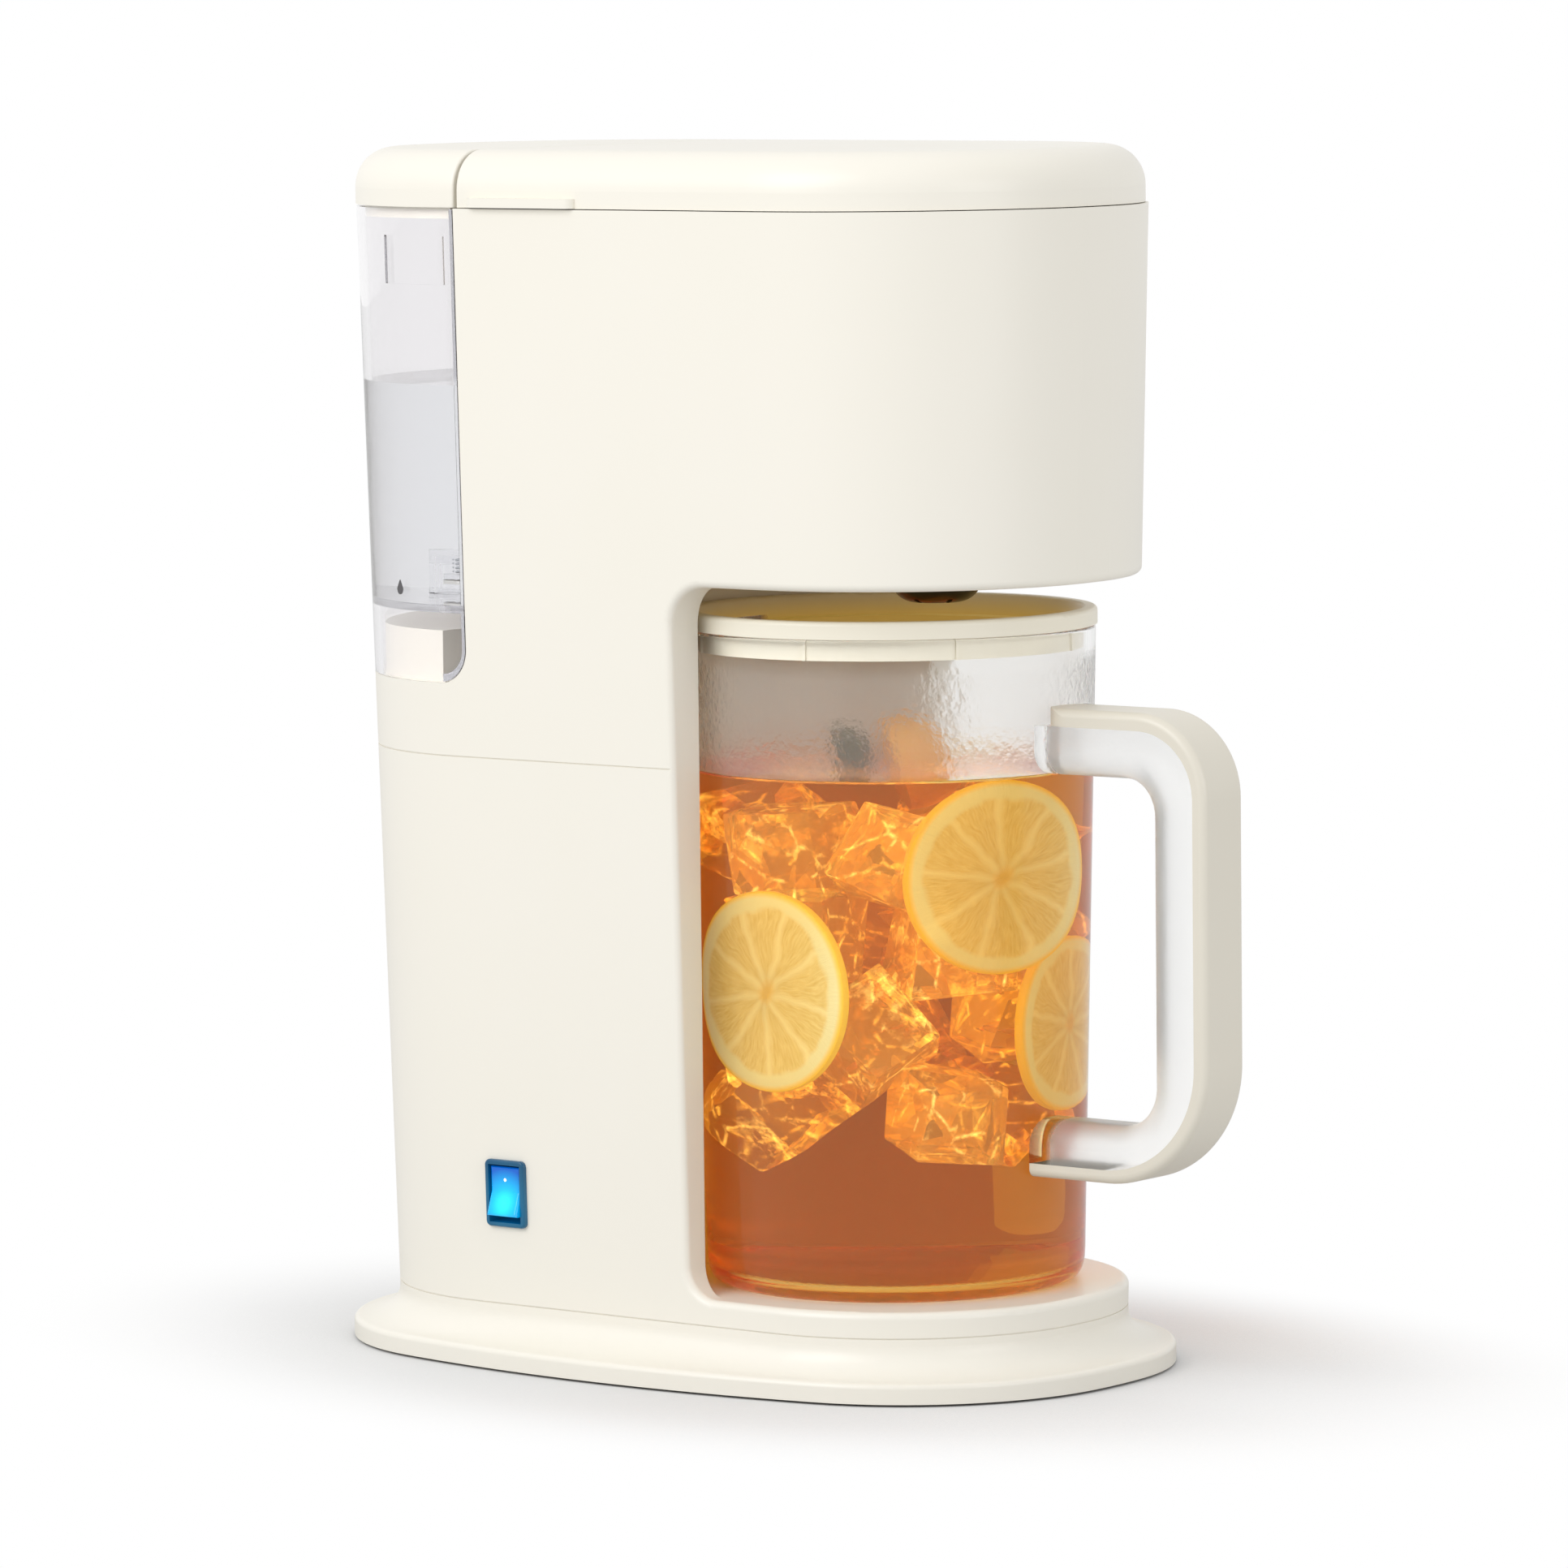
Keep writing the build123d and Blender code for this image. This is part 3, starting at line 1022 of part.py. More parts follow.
with BuildPart() as tank_valve_plunger:
    with Locations((0, PORT_Y, disc_z)):
        Cylinder(DISC_R - GAP, DISC, align=UPRIGHT)
    with Locations((0, PORT_Y, STEM_LOW_Z)):
        Cylinder(STEM_R, STEM_TOP_Z - STEM_LOW_Z, align=UPRIGHT)

with BuildPart() as tank_valve_cage:
    with Locations((0, PORT_Y, TANK_FLOOR_TOP)):
        Cylinder(CAGE_R, CAGE_TOP_Z - TANK_FLOOR_TOP, align=UPRIGHT)
        Cylinder(CAGE_R - CAGE_WALL, CAGE_TOP_Z - CAGE_CAP - TANK_FLOOR_TOP, align=UPRIGHT,
                 mode=Mode.SUBTRACT)
        Cylinder(STEM_R + STEM_PLAY, FAR / 8, align=UPRIGHT, mode=Mode.SUBTRACT)
    with Locations((0, PORT_Y, CAGE_WINDOW_Z)):
        with PolarLocations(CAGE_R, CAGE_WINDOWS):
            Box(*CAGE_WINDOW, align=UPRIGHT, mode=Mode.SUBTRACT)

spring_low = disc_z + DISC + SPRING_WIRE_R
spring_high = CAGE_TOP_Z - CAGE_CAP - SPRING_WIRE_R
with BuildPart() as tank_valve_spring:
    with BuildLine() as coil:
        Helix((spring_high - spring_low) / SPRING_TURNS, spring_high - spring_low, SPRING_R,
              center=(0, PORT_Y, spring_low))
    with BuildSketch(coil.line ^ 0):
        Circle(SPRING_WIRE_R)
    sweep()

# ---------------------------------------------------------------- tank lid

LID_LIP = 1.8
LID_LIP_Z = 361.4

with BuildPart() as tank_lid:
    with Locations((0, TANK_LID_BEHIND, 0)):
        add(crown_outer)
    add(slab(TANK_LID_Y, FAR, MID_SEAM_Z, FAR), mode=Mode.INTERSECT)
    fillet(end_edges(tank_lid.faces().sort_by(Axis.Y)[0]), LID_END_R)
    tank_lid_hollow = crown_inner & slab(TANK_LID_Y + LID_WALL, FAR, MID_SEAM_Z, FAR)
    add(tank_lid_hollow, mode=Mode.SUBTRACT)
    lip_inset = TANK_WALL + GAP
    lip_clear = GAP + TANK_WALL + GAP
    lip_block = tank_block(LID_LIP_Z, LID_SEAM_Z + LID_WALL, lip_inset, lip_clear)
    lip_block -= tank_block(LID_LIP_Z - 1, FAR, lip_inset + LID_LIP, lip_clear + LID_LIP)
    add(lip_block)

# ---------------------------------------------------------------- pitcher

PITCHER_LOW_Z = PLATFORM_Z + TANK_LIFT
PITCHER_SHOULDER_Z = 41.0
SHOULDER_RUN = (0.03, 1)    # the way that the bottom's curve meets the wall
FOOT_RING = 3.0         # width of the ring that it stands on
FOOT_CHAMFER = 2.0
FLOOR_EDGE_R = 49.7     # where the inside's floor turns flat
MOUTH_R = 0.9
HANDLE_ROOT_REACH = 50.0    # the handle's ends are cut to the wall from here
GRIP_SINK = 1.2         # the handle's roots go this far into the wall


def pitcher_r(z):
    """The pitcher's outside radius above its rounded bottom."""
    return mix(PITCHER_LOW_R, PITCHER_TOP_R, (z - PITCHER_SHOULDER_Z) / (PITCHER_TOP_Z - PITCHER_SHOULDER_Z))


def handle_loop(reach, low, high, low_r, high_r):
    """The handle's side view from the given reach back into the pitcher."""
    with BuildSketch(Plane.YZ) as loop:
        with Locations((PITCHER_Y - (reach + HANDLE_ROOT_REACH) / 2, (low + high) / 2)):
            Rectangle(reach - HANDLE_ROOT_REACH, high - low)
        fillet(loop.vertices().group_by(Axis.X)[0].sort_by(Axis.Y)[0], low_r)
        fillet(loop.vertices().group_by(Axis.X)[0].sort_by(Axis.Y)[-1], high_r)
    return loop.sketch


cover_low = HANDLE_BOTTOM_Z + COVER_BOTTOM_THICKNESS
cover_high = HANDLE_TOP_Z - COVER_TOP_THICKNESS
core_low_r = HANDLE_BOTTOM_R - COVER_BOTTOM_THICKNESS
core_high_r = HANDLE_TOP_R - COVER_TOP_THICKNESS
handle_outside = handle_loop(HANDLE_REACH, HANDLE_BOTTOM_Z, HANDLE_TOP_Z, HANDLE_BOTTOM_R, HANDLE_TOP_R)
handle_boundary = handle_loop(COVER_BACK_REACH, cover_low, cover_high, core_low_r, core_high_r)
handle_finger = handle_loop(GRIP_INNER_REACH, FINGER_BOTTOM_Z, FINGER_TOP_Z, FINGER_BOTTOM_R, FINGER_TOP_R)

with BuildPart() as grip:
    extrude(handle_boundary, amount=HANDLE_HALF_WIDTH, both=True)
    extrude(handle_finger, amount=HANDLE_HALF_WIDTH, both=True, mode=Mode.SUBTRACT)
    finger_edges = grip.faces().filter_by(Axis.X)[0].edges() + grip.faces().filter_by(Axis.X)[1].edges()

    def on_finger_side(edge):
        middle = edge @ 0.5
        reach = PITCHER_Y - middle.Y
        inside = FINGER_BOTTOM_Z - 1 < middle.Z < FINGER_TOP_Z + 1
        return inside and HANDLE_ROOT_REACH + 1 < reach < GRIP_INNER_REACH + 1
    fillet(finger_edges.filter_by(on_finger_side), GRIP_ROUND_R)


def outer_edges(shape):
    """The long edges round the outside of the handle's two side faces."""
    sides = shape.faces().filter_by(Axis.X)
    return ShapeList(edge for side in sides for edge in side.edges()
                     if PITCHER_Y - (edge @ 0.5).Y > HANDLE_ROOT_REACH + 1)


with BuildPart() as pitcher:
    with BuildSketch(Plane((0, PITCHER_Y, 0), **FACING_FRONT)) as profile:
        with BuildLine():
            foot = (PITCHER_FOOT_R, PITCHER_LOW_Z)
            shoulder = (PITCHER_LOW_R, PITCHER_SHOULDER_Z)
            Spline(foot, shoulder, tangents=((1, 0), SHOULDER_RUN))
            top = (PITCHER_TOP_R, PITCHER_TOP_Z)
            Line(shoulder, top)
            inner_top = (PITCHER_TOP_R - PITCHER_WALL, PITCHER_TOP_Z)
            Line(top, inner_top)
            inner_low = (PITCHER_LOW_R - PITCHER_WALL, PITCHER_SHOULDER_Z)
            Line(inner_top, inner_low)
            inner_foot = (FLOOR_EDGE_R, PITCHER_LOW_Z + PITCHER_WALL + PUSH_UP)
            Spline(inner_low, inner_foot, tangents=((-SHOULDER_RUN[0], -SHOULDER_RUN[1]), (-1, 0)))
            ring_r = PITCHER_FOOT_R - FOOT_RING
            Polyline(inner_foot, (0, PITCHER_LOW_Z + PITCHER_WALL + PUSH_UP), (0, PITCHER_LOW_Z + PUSH_UP),
                     (ring_r - FOOT_CHAMFER, PITCHER_LOW_Z + PUSH_UP), (ring_r, PITCHER_LOW_Z), foot)
        make_face()
    revolve(axis=Axis((0, PITCHER_Y, 0), (0, 0, 1)))
    pitcher_inside = turned([(0, 0), (pitcher_r(0) - GRIP_SINK, 0), (pitcher_r(FAR) - GRIP_SINK, FAR),
                             (0, FAR)], PITCHER_Y)
    add(grip.part - pitcher_inside)
    fillet(pitcher.edges().filter_by(lambda edge: (edge @ 0.5).Z > PITCHER_TOP_Z - TOUCH), MOUTH_R)

with BuildPart() as handle_cover:
    extrude(handle_outside, amount=HANDLE_HALF_WIDTH, both=True)
    fillet(outer_edges(handle_cover), COVER_EDGE_R)
    extrude(handle_boundary, amount=HANDLE_HALF_WIDTH, both=True, mode=Mode.SUBTRACT)
    # The upper end stops short of the pitcher in a rounded tongue, the lower end runs up to its wall.
    with BuildSketch(Plane.XY.offset(cover_high - COVER_TOP_THICKNESS)):
        with Locations((0, TONGUE_Y + FAR / 4)):
            Rectangle(FAR / 4, FAR / 2)
        with Locations((0, TONGUE_Y - HANDLE_HALF_WIDTH)):
            Rectangle(FAR / 4, 2 * HANDLE_HALF_WIDTH)
            RectangleRounded(2 * HANDLE_HALF_WIDTH, 2 * HANDLE_HALF_WIDTH, TONGUE_R, mode=Mode.SUBTRACT)
        with Locations((0, TONGUE_Y - 2 * HANDLE_HALF_WIDTH)):
            Rectangle(FAR / 4, 2 * HANDLE_HALF_WIDTH, mode=Mode.SUBTRACT)
    extrude(amount=FAR / 4, mode=Mode.SUBTRACT)
    add(turned([(0, 0), (pitcher_r(0) + FIT, 0), (pitcher_r(cover_high) + FIT, cover_high), (0, cover_high)],
               PITCHER_Y), mode=Mode.SUBTRACT)

# ---------------------------------------------------------------- pitcher lid

RIM_LOW_Z = PITCHER_TOP_Z + GAP
RIM_WIDTH = 4.4
RECESS_RUN = 3.0
RECESS_Z = 232.4
RECESS_STEP = 1.6
RECESS_STEP_R = 50.0
SKIRT_R = 60.4
SKIRT_LOW_Z = 226.8
SKIRT_WALL = 1.8
SKIRT_RIBS = 8
SKIRT_RIB_TURN = 11     # degrees that the first rib stands round from the right
SKIRT_RIB = (1.4, 1.0)
POUR_WIDTH = 22.0
DRIP_HALF_LENGTH = 26.0
DRIP_WIDTH = 22.0

with BuildPart() as pitcher_lid:
    step_z = RECESS_Z - RECESS_STEP
    add(turned([(LID_RIM_R, RIM_LOW_Z), (LID_RIM_R, LID_RIM_TOP_Z), (LID_RIM_R - RIM_WIDTH, LID_RIM_TOP_Z),
                (LID_RIM_R - RIM_WIDTH - RECESS_RUN, RECESS_Z), (RECESS_STEP_R, RECESS_Z),
                (RECESS_STEP_R - 1, step_z), (0, step_z), (0, step_z - SKIRT_WALL),
                (SKIRT_R - SKIRT_WALL, step_z - SKIRT_WALL), (SKIRT_R - SKIRT_WALL, SKIRT_LOW_Z),
                (SKIRT_R, SKIRT_LOW_Z), (SKIRT_R, RIM_LOW_Z)], PITCHER_Y))
    fillet(pitcher_lid.edges().filter_by(GeomType.CIRCLE).group_by(Axis.Z)[-1], RIM_EDGE_R)
    with Locations((0, PITCHER_Y, SKIRT_LOW_Z)):
        with PolarLocations(SKIRT_R, SKIRT_RIBS, start_angle=SKIRT_RIB_TURN):
            Box(*SKIRT_RIB, RIM_LOW_Z - SKIRT_LOW_Z, align=UPRIGHT)
    with BuildSketch(Plane.XY.offset(SKIRT_LOW_Z)):
        with Locations((0, PITCHER_Y - RIM_WIDTH)):
            SlotOverall(2 * DRIP_HALF_LENGTH, DRIP_WIDTH, rotation=90)
        with Locations((0, PITCHER_Y + SKIRT_R)):
            Rectangle(POUR_WIDTH, 6 * SKIRT_WALL)
    extrude(amount=RIM_LOW_Z - SKIRT_LOW_Z - TOUCH, mode=Mode.SUBTRACT)

# ---------------------------------------------------------------- files

pieces = {
    "foot_cover": foot_cover.part,
    "base_pan": base_pan.part,
    "rubber_feet": rubber_feet.part,
    "base_screws": base_screws,
    "lower_housing": lower_housing.part,
    "upper_housing": upper_housing.part,
    "housing_screws": housing_screws,
    "switch_body": switch_body.part,
    "switch_rocker": switch_rocker.part,
    "cord_gland": cord_gland.part,
    "terminal_block": terminal_block.part,
    "heater": heater.part,
    "heater_strap": heater_strap.part,
    "heater_screws": heater_screws,
    "thermostat": thermostat.part,
    "thermal_fuses": thermal_fuses.part,
    "check_valve": check_valve.part,
    "inlet_hose": inlet_hose,
    "riser_hose": riser_hose,
    "tank_port": tank_port.part,
    "port_seal": port_seal.part,
    "basket_well": basket_well.part,
    "deck_screws": deck_screws,
    "outlet_nozzle": outlet_nozzle.part,
    "water_spout": water_spout.part,
    "brew_basket": brew_basket.part,
    "filter_frame": filter_frame.part,
    "filter_mesh": filter_mesh.part,
    "brew_lid": brew_lid.part,
    "spray_channel": spray_channel.part,
    "lid_hinge_pin": lid_hinge_pin.part,
    "water_tank": water_tank.part,
    "tank_valve_cage": tank_valve_cage.part,
    "tank_valve_plunger": tank_valve_plunger.part,
    "tank_valve_seal": tank_valve_seal.part,
    "tank_valve_spring": tank_valve_spring.part,
    "tank_lid": tank_lid.part,
    "pitcher": pitcher.part,
    "handle_cover": handle_cover.part,
    "pitcher_lid": pitcher_lid.part,
}
for name, piece in pieces.items():
    piece.label = name
    export_step(piece, f"parts/{name}.step")
    size = piece.bounding_box().size
    print(f"{name}: {len(piece.solids())} solid(s), {size.X:.1f} x {size.Y:.1f} x {size.Z:.1f} mm")
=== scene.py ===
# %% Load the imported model
import math
import random

import bmesh
import bpy
from mathutils import Matrix, Quaternion, Vector


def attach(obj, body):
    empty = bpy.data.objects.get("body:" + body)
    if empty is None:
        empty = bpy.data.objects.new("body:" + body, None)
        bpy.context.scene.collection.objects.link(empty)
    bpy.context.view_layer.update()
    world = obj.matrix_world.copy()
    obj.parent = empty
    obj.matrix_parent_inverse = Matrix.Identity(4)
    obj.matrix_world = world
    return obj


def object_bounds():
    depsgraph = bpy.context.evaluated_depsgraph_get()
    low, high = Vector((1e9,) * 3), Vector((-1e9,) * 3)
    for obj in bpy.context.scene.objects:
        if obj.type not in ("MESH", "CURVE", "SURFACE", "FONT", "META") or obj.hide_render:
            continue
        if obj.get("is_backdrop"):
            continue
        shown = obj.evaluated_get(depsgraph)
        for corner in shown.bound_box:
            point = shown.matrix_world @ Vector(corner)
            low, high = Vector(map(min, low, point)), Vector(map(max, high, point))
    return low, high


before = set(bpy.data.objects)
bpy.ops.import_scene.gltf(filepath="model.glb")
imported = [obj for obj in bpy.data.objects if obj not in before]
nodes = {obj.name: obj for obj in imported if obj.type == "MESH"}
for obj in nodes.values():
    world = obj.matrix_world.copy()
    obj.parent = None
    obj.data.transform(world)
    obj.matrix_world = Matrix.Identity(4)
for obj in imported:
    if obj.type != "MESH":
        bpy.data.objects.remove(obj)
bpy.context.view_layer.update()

# %% [markdown]
# # An iced tea maker
# The housings, lids, tank and pitcher come from the CAD model and keep their exact shapes. This
# script gives each one a finish, and adds what CAD leaves out: the tea, the ice, the lemon slices
# and the water in the tank.
#
# ## Camera
# A long lens far away keeps upright edges nearly parallel. The camera could be placed by eye, but
# an angle round the object, a height angle and a distance are easier to reason about, so its place
# is worked out from those three. A slight roll finishes it.

# %% Camera
MM = 0.001
AZIMUTH, ELEVATION, ROLL = math.radians(-52.821), math.radians(5.748), math.radians(-0.618)
DISTANCE = 2695.04 * MM
AIM = Vector((0.0, 1.465, 171.805)) * MM

back = Vector((math.sin(AZIMUTH) * math.cos(ELEVATION),
               -math.cos(AZIMUTH) * math.cos(ELEVATION), math.sin(ELEVATION)))
camera = bpy.data.objects.new("camera", bpy.data.cameras.new("camera"))
bpy.context.scene.collection.objects.link(camera)
camera.data.sensor_width = 36.0
camera.data.lens = 195.594
camera.data.shift_x = -0.01071
camera.data.shift_y = 0.01917
camera.location = AIM + back * DISTANCE
camera.rotation_mode = "QUATERNION"
camera.rotation_quaternion = (-back).to_track_quat("-Z", "Y") @ Quaternion((0, 0, 1), ROLL)
bpy.context.scene.camera = camera
print("camera at", [round(v, 3) for v in camera.location])

# %% [markdown]
# ## Colours and nodes
# Blender's shaders work in linear light, while colours are usually picked as sRGB hex values. One
# function turns one into the other, so every material can be written in familiar colours. A second
# small function adds a shader node with its settings and links, which keeps each recipe readable.

# %% Helpers for materials
def srgb(code, alpha=1.0):
    """A hex colour as linear RGBA."""
    channels = [int(code[i:i + 2], 16) / 255 for i in (0, 2, 4)]
    return (*[c / 12.92 if c <= 0.04045 else ((c + 0.055) / 1.055) ** 2.4 for c in channels], alpha)


def add(tree, kind, inputs=None, **settings):
    """Adds a node, sets its properties, and sets or links its inputs."""
    made = tree.nodes.new(kind)
    for name, value in settings.items():
        setattr(made, name, value)
    for name, value in (inputs or {}).items():
        if isinstance(value, bpy.types.NodeSocket):
            tree.links.new(value, made.inputs[name])
        else:
            made.inputs[name].default_value = value
    return made


def start(name):
    """An empty material: the material, its node tree and its output."""
    material = bpy.data.materials.new(name)
    material.use_nodes = True
    material.node_tree.nodes.clear()
    return material, material.node_tree, material.node_tree.nodes.new("ShaderNodeOutputMaterial")


def per_mm(size):
    """The noise scale whose grains are about this many millimetres across."""
    return 1.0 / (size * MM)


def dress(material, *names):
    """Gives CAD nodes a material in place of the plain one that they come with."""
    for name in names:
        for place in range(len(nodes[name].data.materials)):
            nodes[name].data.materials[place] = material
    print(material.name, "on", ", ".join(names))


# %% [markdown]
# ## Moulded ABS
# The housings and lids are injection-moulded ABS in a warm ivory. A polished steel mould leaves a
# satin gloss with a very faint orange-peel, and the pigment is never perfectly even. One noise at
# about a millimetre makes the orange-peel, and a much larger one shifts the colour and the gloss by
# a percent or two, so that big smooth faces don't look computed.

# %% Ivory ABS for the housings, and a slightly deeper one for the pitcher's lid and handle; the handle's darker tone is partly painted shade
def moulded(name, light, deep, roughness, grain_mm, grain_depth_mm, ior):
    """A moulded plastic: even pigment, soft gloss and a fine mould texture."""
    material, tree, output = start(name)
    place = add(tree, "ShaderNodeTexCoord").outputs["Object"]
    cloud = add(tree, "ShaderNodeTexNoise", {"Vector": place, "Scale": per_mm(60), "Detail": 3.0})
    tint = add(tree, "ShaderNodeMixRGB", {"Fac": cloud.outputs["Fac"], "Color1": srgb(light),
                                          "Color2": srgb(deep)})
    gloss = add(tree, "ShaderNodeMapRange", {"Value": cloud.outputs["Fac"], "To Min": roughness - 0.03,
                                             "To Max": roughness + 0.03})
    grain = add(tree, "ShaderNodeTexNoise", {"Vector": place, "Scale": per_mm(grain_mm), "Detail": 2.0})
    peel = add(tree, "ShaderNodeBump", {"Height": grain.outputs["Fac"], "Strength": 1.0,
                                        "Distance": grain_depth_mm * MM})
    shader = add(tree, "ShaderNodeBsdfPrincipled", {
        "Base Color": tint.outputs["Color"], "Roughness": gloss.outputs["Result"],
        "Normal": peel.outputs["Normal"], "IOR": ior})
    tree.links.new(shader.outputs["BSDF"], output.inputs["Surface"])
    return material


ivory_abs = moulded("moulded_ivory_ABS", "F4F0E6", "F2EEE2", 0.36, 1.1, 0.004, 1.53)
# The handle's darker ivory is partly its own tone and partly painted shade.
grip_ivory_and_painted_shade = moulded("moulded_ivory_ABS_grip", "E4DFD1", "E1DBCD", 0.34, 1.0, 0.004, 1.53)
dress(ivory_abs, "foot_cover", "lower_housing", "upper_housing", "basket_well", "brew_lid", "tank_lid")
dress(grip_ivory_and_painted_shade, "handle_cover")

# %% [markdown]
# ## The pitcher's lid
# The lid is the same ivory, but its middle is a thin sunken disc. It sits in the shade of the brew head, and
# that shade is painted on the middle as a khaki colour, with a faint amber emission as a painted glow for
# the tea's warm light. The distance from the pitcher's axis tells the sunken middle from the thick rim, and
# blends one colour into the other.

# %% Ivory lid with painted shade and a painted glow on its middle
PITCHER_AXIS = Vector((0, -34.5, 0)) * MM


def lid_with_painted_shade(name, rim, middle, light_through_and_painted_glow, inner_mm, outer_mm):
    """A moulded lid: one colour for the rim, and on the middle a darker painted shade with a painted glow.
    """
    material = moulded(name, rim, rim, 0.34, 1.0, 0.004, 1.50)
    tree = material.node_tree
    shader = tree.nodes["Principled BSDF"]
    place = add(tree, "ShaderNodeTexCoord").outputs["Object"]
    centred = add(tree, "ShaderNodeMapping", {"Vector": place, "Location": -PITCHER_AXIS,
                                              "Scale": (1, 1, 0)})
    radius = add(tree, "ShaderNodeVectorMath", {0: centred.outputs["Vector"]}, operation="LENGTH")
    # Painted shade and glow: inside inner_mm the middle gets a darker khaki colour and an amber emission,
    # both fading out towards the rim.
    painted_shade_fade = add(tree, "ShaderNodeMapRange", {"Value": radius.outputs["Value"], "From Min": inner_mm * MM,
                                            "From Max": outer_mm * MM})
    colour = add(tree, "ShaderNodeMixRGB", {"Fac": painted_shade_fade.outputs["Result"], "Color1": srgb(middle),
                                            "Color2": srgb(rim)})
    tree.links.new(colour.outputs["Color"], shader.inputs["Base Color"])
    glow = add(tree, "ShaderNodeMixRGB", {"Fac": painted_shade_fade.outputs["Result"], "Color1": srgb(light_through_and_painted_glow),
                                          "Color2": srgb("000000")})
    tree.links.new(glow.outputs["Color"], shader.inputs["Emission Color"])
    shader.inputs["Emission Strength"].default_value = 1.0
    return material


# EAD79C is the middle's painted shade, and 5E4A18 its painted glow.
dress(lid_with_painted_shade("moulded_ivory_polypropylene", "F3EDDC", "EAD79C", "5E4A18", 57.5, 60.0), "pitcher_lid")

# %% [markdown]
# ## Clear SAN
# The tank and the pitcher are moulded in SAN, a clear stiff plastic. A pure refracting shader would
# leave everything inside in shadow, because a lamp's shadow rays stop at it. Letting shadow rays
# through a transparent shader is the usual cure.
#
# The tank's walls hold back a little light on its way through, which greys their edges: that is
# volume absorption. The pitcher's upper wall is misted by its cold contents, so above the tea its
# surface turns pebbly and a little milky, and its thick handle is faintly frosted. One function makes
# both plastics. It finds the mist by its height and the handle by its distance from the axis.

# %% Clear SAN, plain for the tank and misted for the pitcher
TEA_TOP_Z = 188.9
LID_SKIRT_Z = 226.8


def let_light_in(tree, shader, output, tint):
    """Joins a refracting shader to the output, with shadow rays let through."""
    path = add(tree, "ShaderNodeLightPath")
    clear_way = add(tree, "ShaderNodeBsdfTransparent", {"Color": srgb(tint)})
    both = add(tree, "ShaderNodeMixShader", {"Fac": path.outputs["Is Shadow Ray"]})
    tree.links.new(shader.outputs["BSDF"], both.inputs[1])
    tree.links.new(clear_way.outputs["BSDF"], both.inputs[2])
    tree.links.new(both.outputs["Shader"], output.inputs["Surface"])


GRIP_REACH = 66.5       # further than this from the pitcher's axis is its handle
POLISHED, MISTED, FROSTED = 0.02, 0.20, 0.30     # the roughness of the wall, its mist and the handle
MIST_CLEARNESS, GRIP_CLEARNESS = 0.945, 0.80     # the share of light that isn't scattered


def clear_plastic(name, tint, ior, shine, ripple_mm, ripple_depth_mm, mist_low=None, mist_high=None):
    """A clear moulded plastic, with slow ripples from the mould and an optional misted band."""
    material, tree, output = start(name)
    place = add(tree, "ShaderNodeTexCoord").outputs["Object"]
    ripple = add(tree, "ShaderNodeTexNoise", {"Vector": place, "Scale": per_mm(ripple_mm), "Detail": 1.0})
    surface = add(tree, "ShaderNodeBump", {"Height": ripple.outputs["Fac"], "Strength": 1.0,
                                           "Distance": ripple_depth_mm * MM})
    shader = add(tree, "ShaderNodeBsdfPrincipled", {
        "Base Color": srgb(tint), "Roughness": POLISHED, "IOR": ior, "Transmission Weight": 1.0,
        "Specular Tint": (shine, shine, shine, 1.0), "Normal": surface.outputs["Normal"]})
    if mist_low:
        height = add(tree, "ShaderNodeSeparateXYZ", {"Vector": place}).outputs["Z"]
        rise = add(tree, "ShaderNodeMapRange", {"Value": height, "From Min": mist_low * MM,
                                                "From Max": (mist_low + 3) * MM}, clamp=True)
        fall = add(tree, "ShaderNodeMapRange", {"Value": height, "From Min": mist_high * MM,
                                                "From Max": (mist_high - 6) * MM}, clamp=True)
        band = add(tree, "ShaderNodeMath", {0: rise.outputs["Result"], 1: fall.outputs["Result"]},
                   operation="MULTIPLY")
        beads = add(tree, "ShaderNodeTexNoise", {"Vector": place, "Scale": per_mm(2.2), "Detail": 2.0})
        pebbles = add(tree, "ShaderNodeBump", {
            "Height": beads.outputs["Fac"], "Normal": surface.outputs["Normal"],
            "Strength": band.outputs["Value"], "Distance": 0.18 * MM})
        mist = add(tree, "ShaderNodeMapRange", {"Value": band.outputs["Value"], "To Min": POLISHED,
                                                "To Max": MISTED})
        tree.links.new(pebbles.outputs["Normal"], shader.inputs["Normal"])
        centred = add(tree, "ShaderNodeMapping", {"Vector": place, "Location": -PITCHER_AXIS,
                                                  "Scale": (1, 1, 0)})
        reach = add(tree, "ShaderNodeVectorMath", {0: centred.outputs["Vector"]}, operation="LENGTH")
        handle = add(tree, "ShaderNodeMapRange", {"Value": reach.outputs["Value"], "To Max": FROSTED,
                                                  "From Min": GRIP_REACH * MM,
                                                  "From Max": (GRIP_REACH + 2) * MM})
        rough = add(tree, "ShaderNodeMath", {0: mist.outputs["Result"], 1: handle.outputs["Result"]},
                    operation="MAXIMUM")
        solid = add(tree, "ShaderNodeMapRange", {"Value": handle.outputs["Result"], "From Max": FROSTED,
                                                 "To Min": 1.0, "To Max": GRIP_CLEARNESS})
        drops = add(tree, "ShaderNodeMapRange", {"Value": band.outputs["Value"], "To Min": 1.0,
                                                 "To Max": MIST_CLEARNESS})
        clear = add(tree, "ShaderNodeMath", {0: solid.outputs["Result"], 1: drops.outputs["Result"]},
                    operation="MINIMUM")
        tree.links.new(rough.outputs["Value"], shader.inputs["Roughness"])
        tree.links.new(clear.outputs["Value"], shader.inputs["Transmission Weight"])
    else:
        grey = add(tree, "ShaderNodeVolumeAbsorption", {"Color": (0.78, 0.78, 0.80, 1.0), "Density": 14.0})
        tree.links.new(grey.outputs["Volume"], output.inputs["Volume"])
    let_light_in(tree, shader, output, tint)
    return material


# Dry SAN's index is higher, but most of these walls touch water or tea, where light bends less.
WETTED_INDEX = 1.42
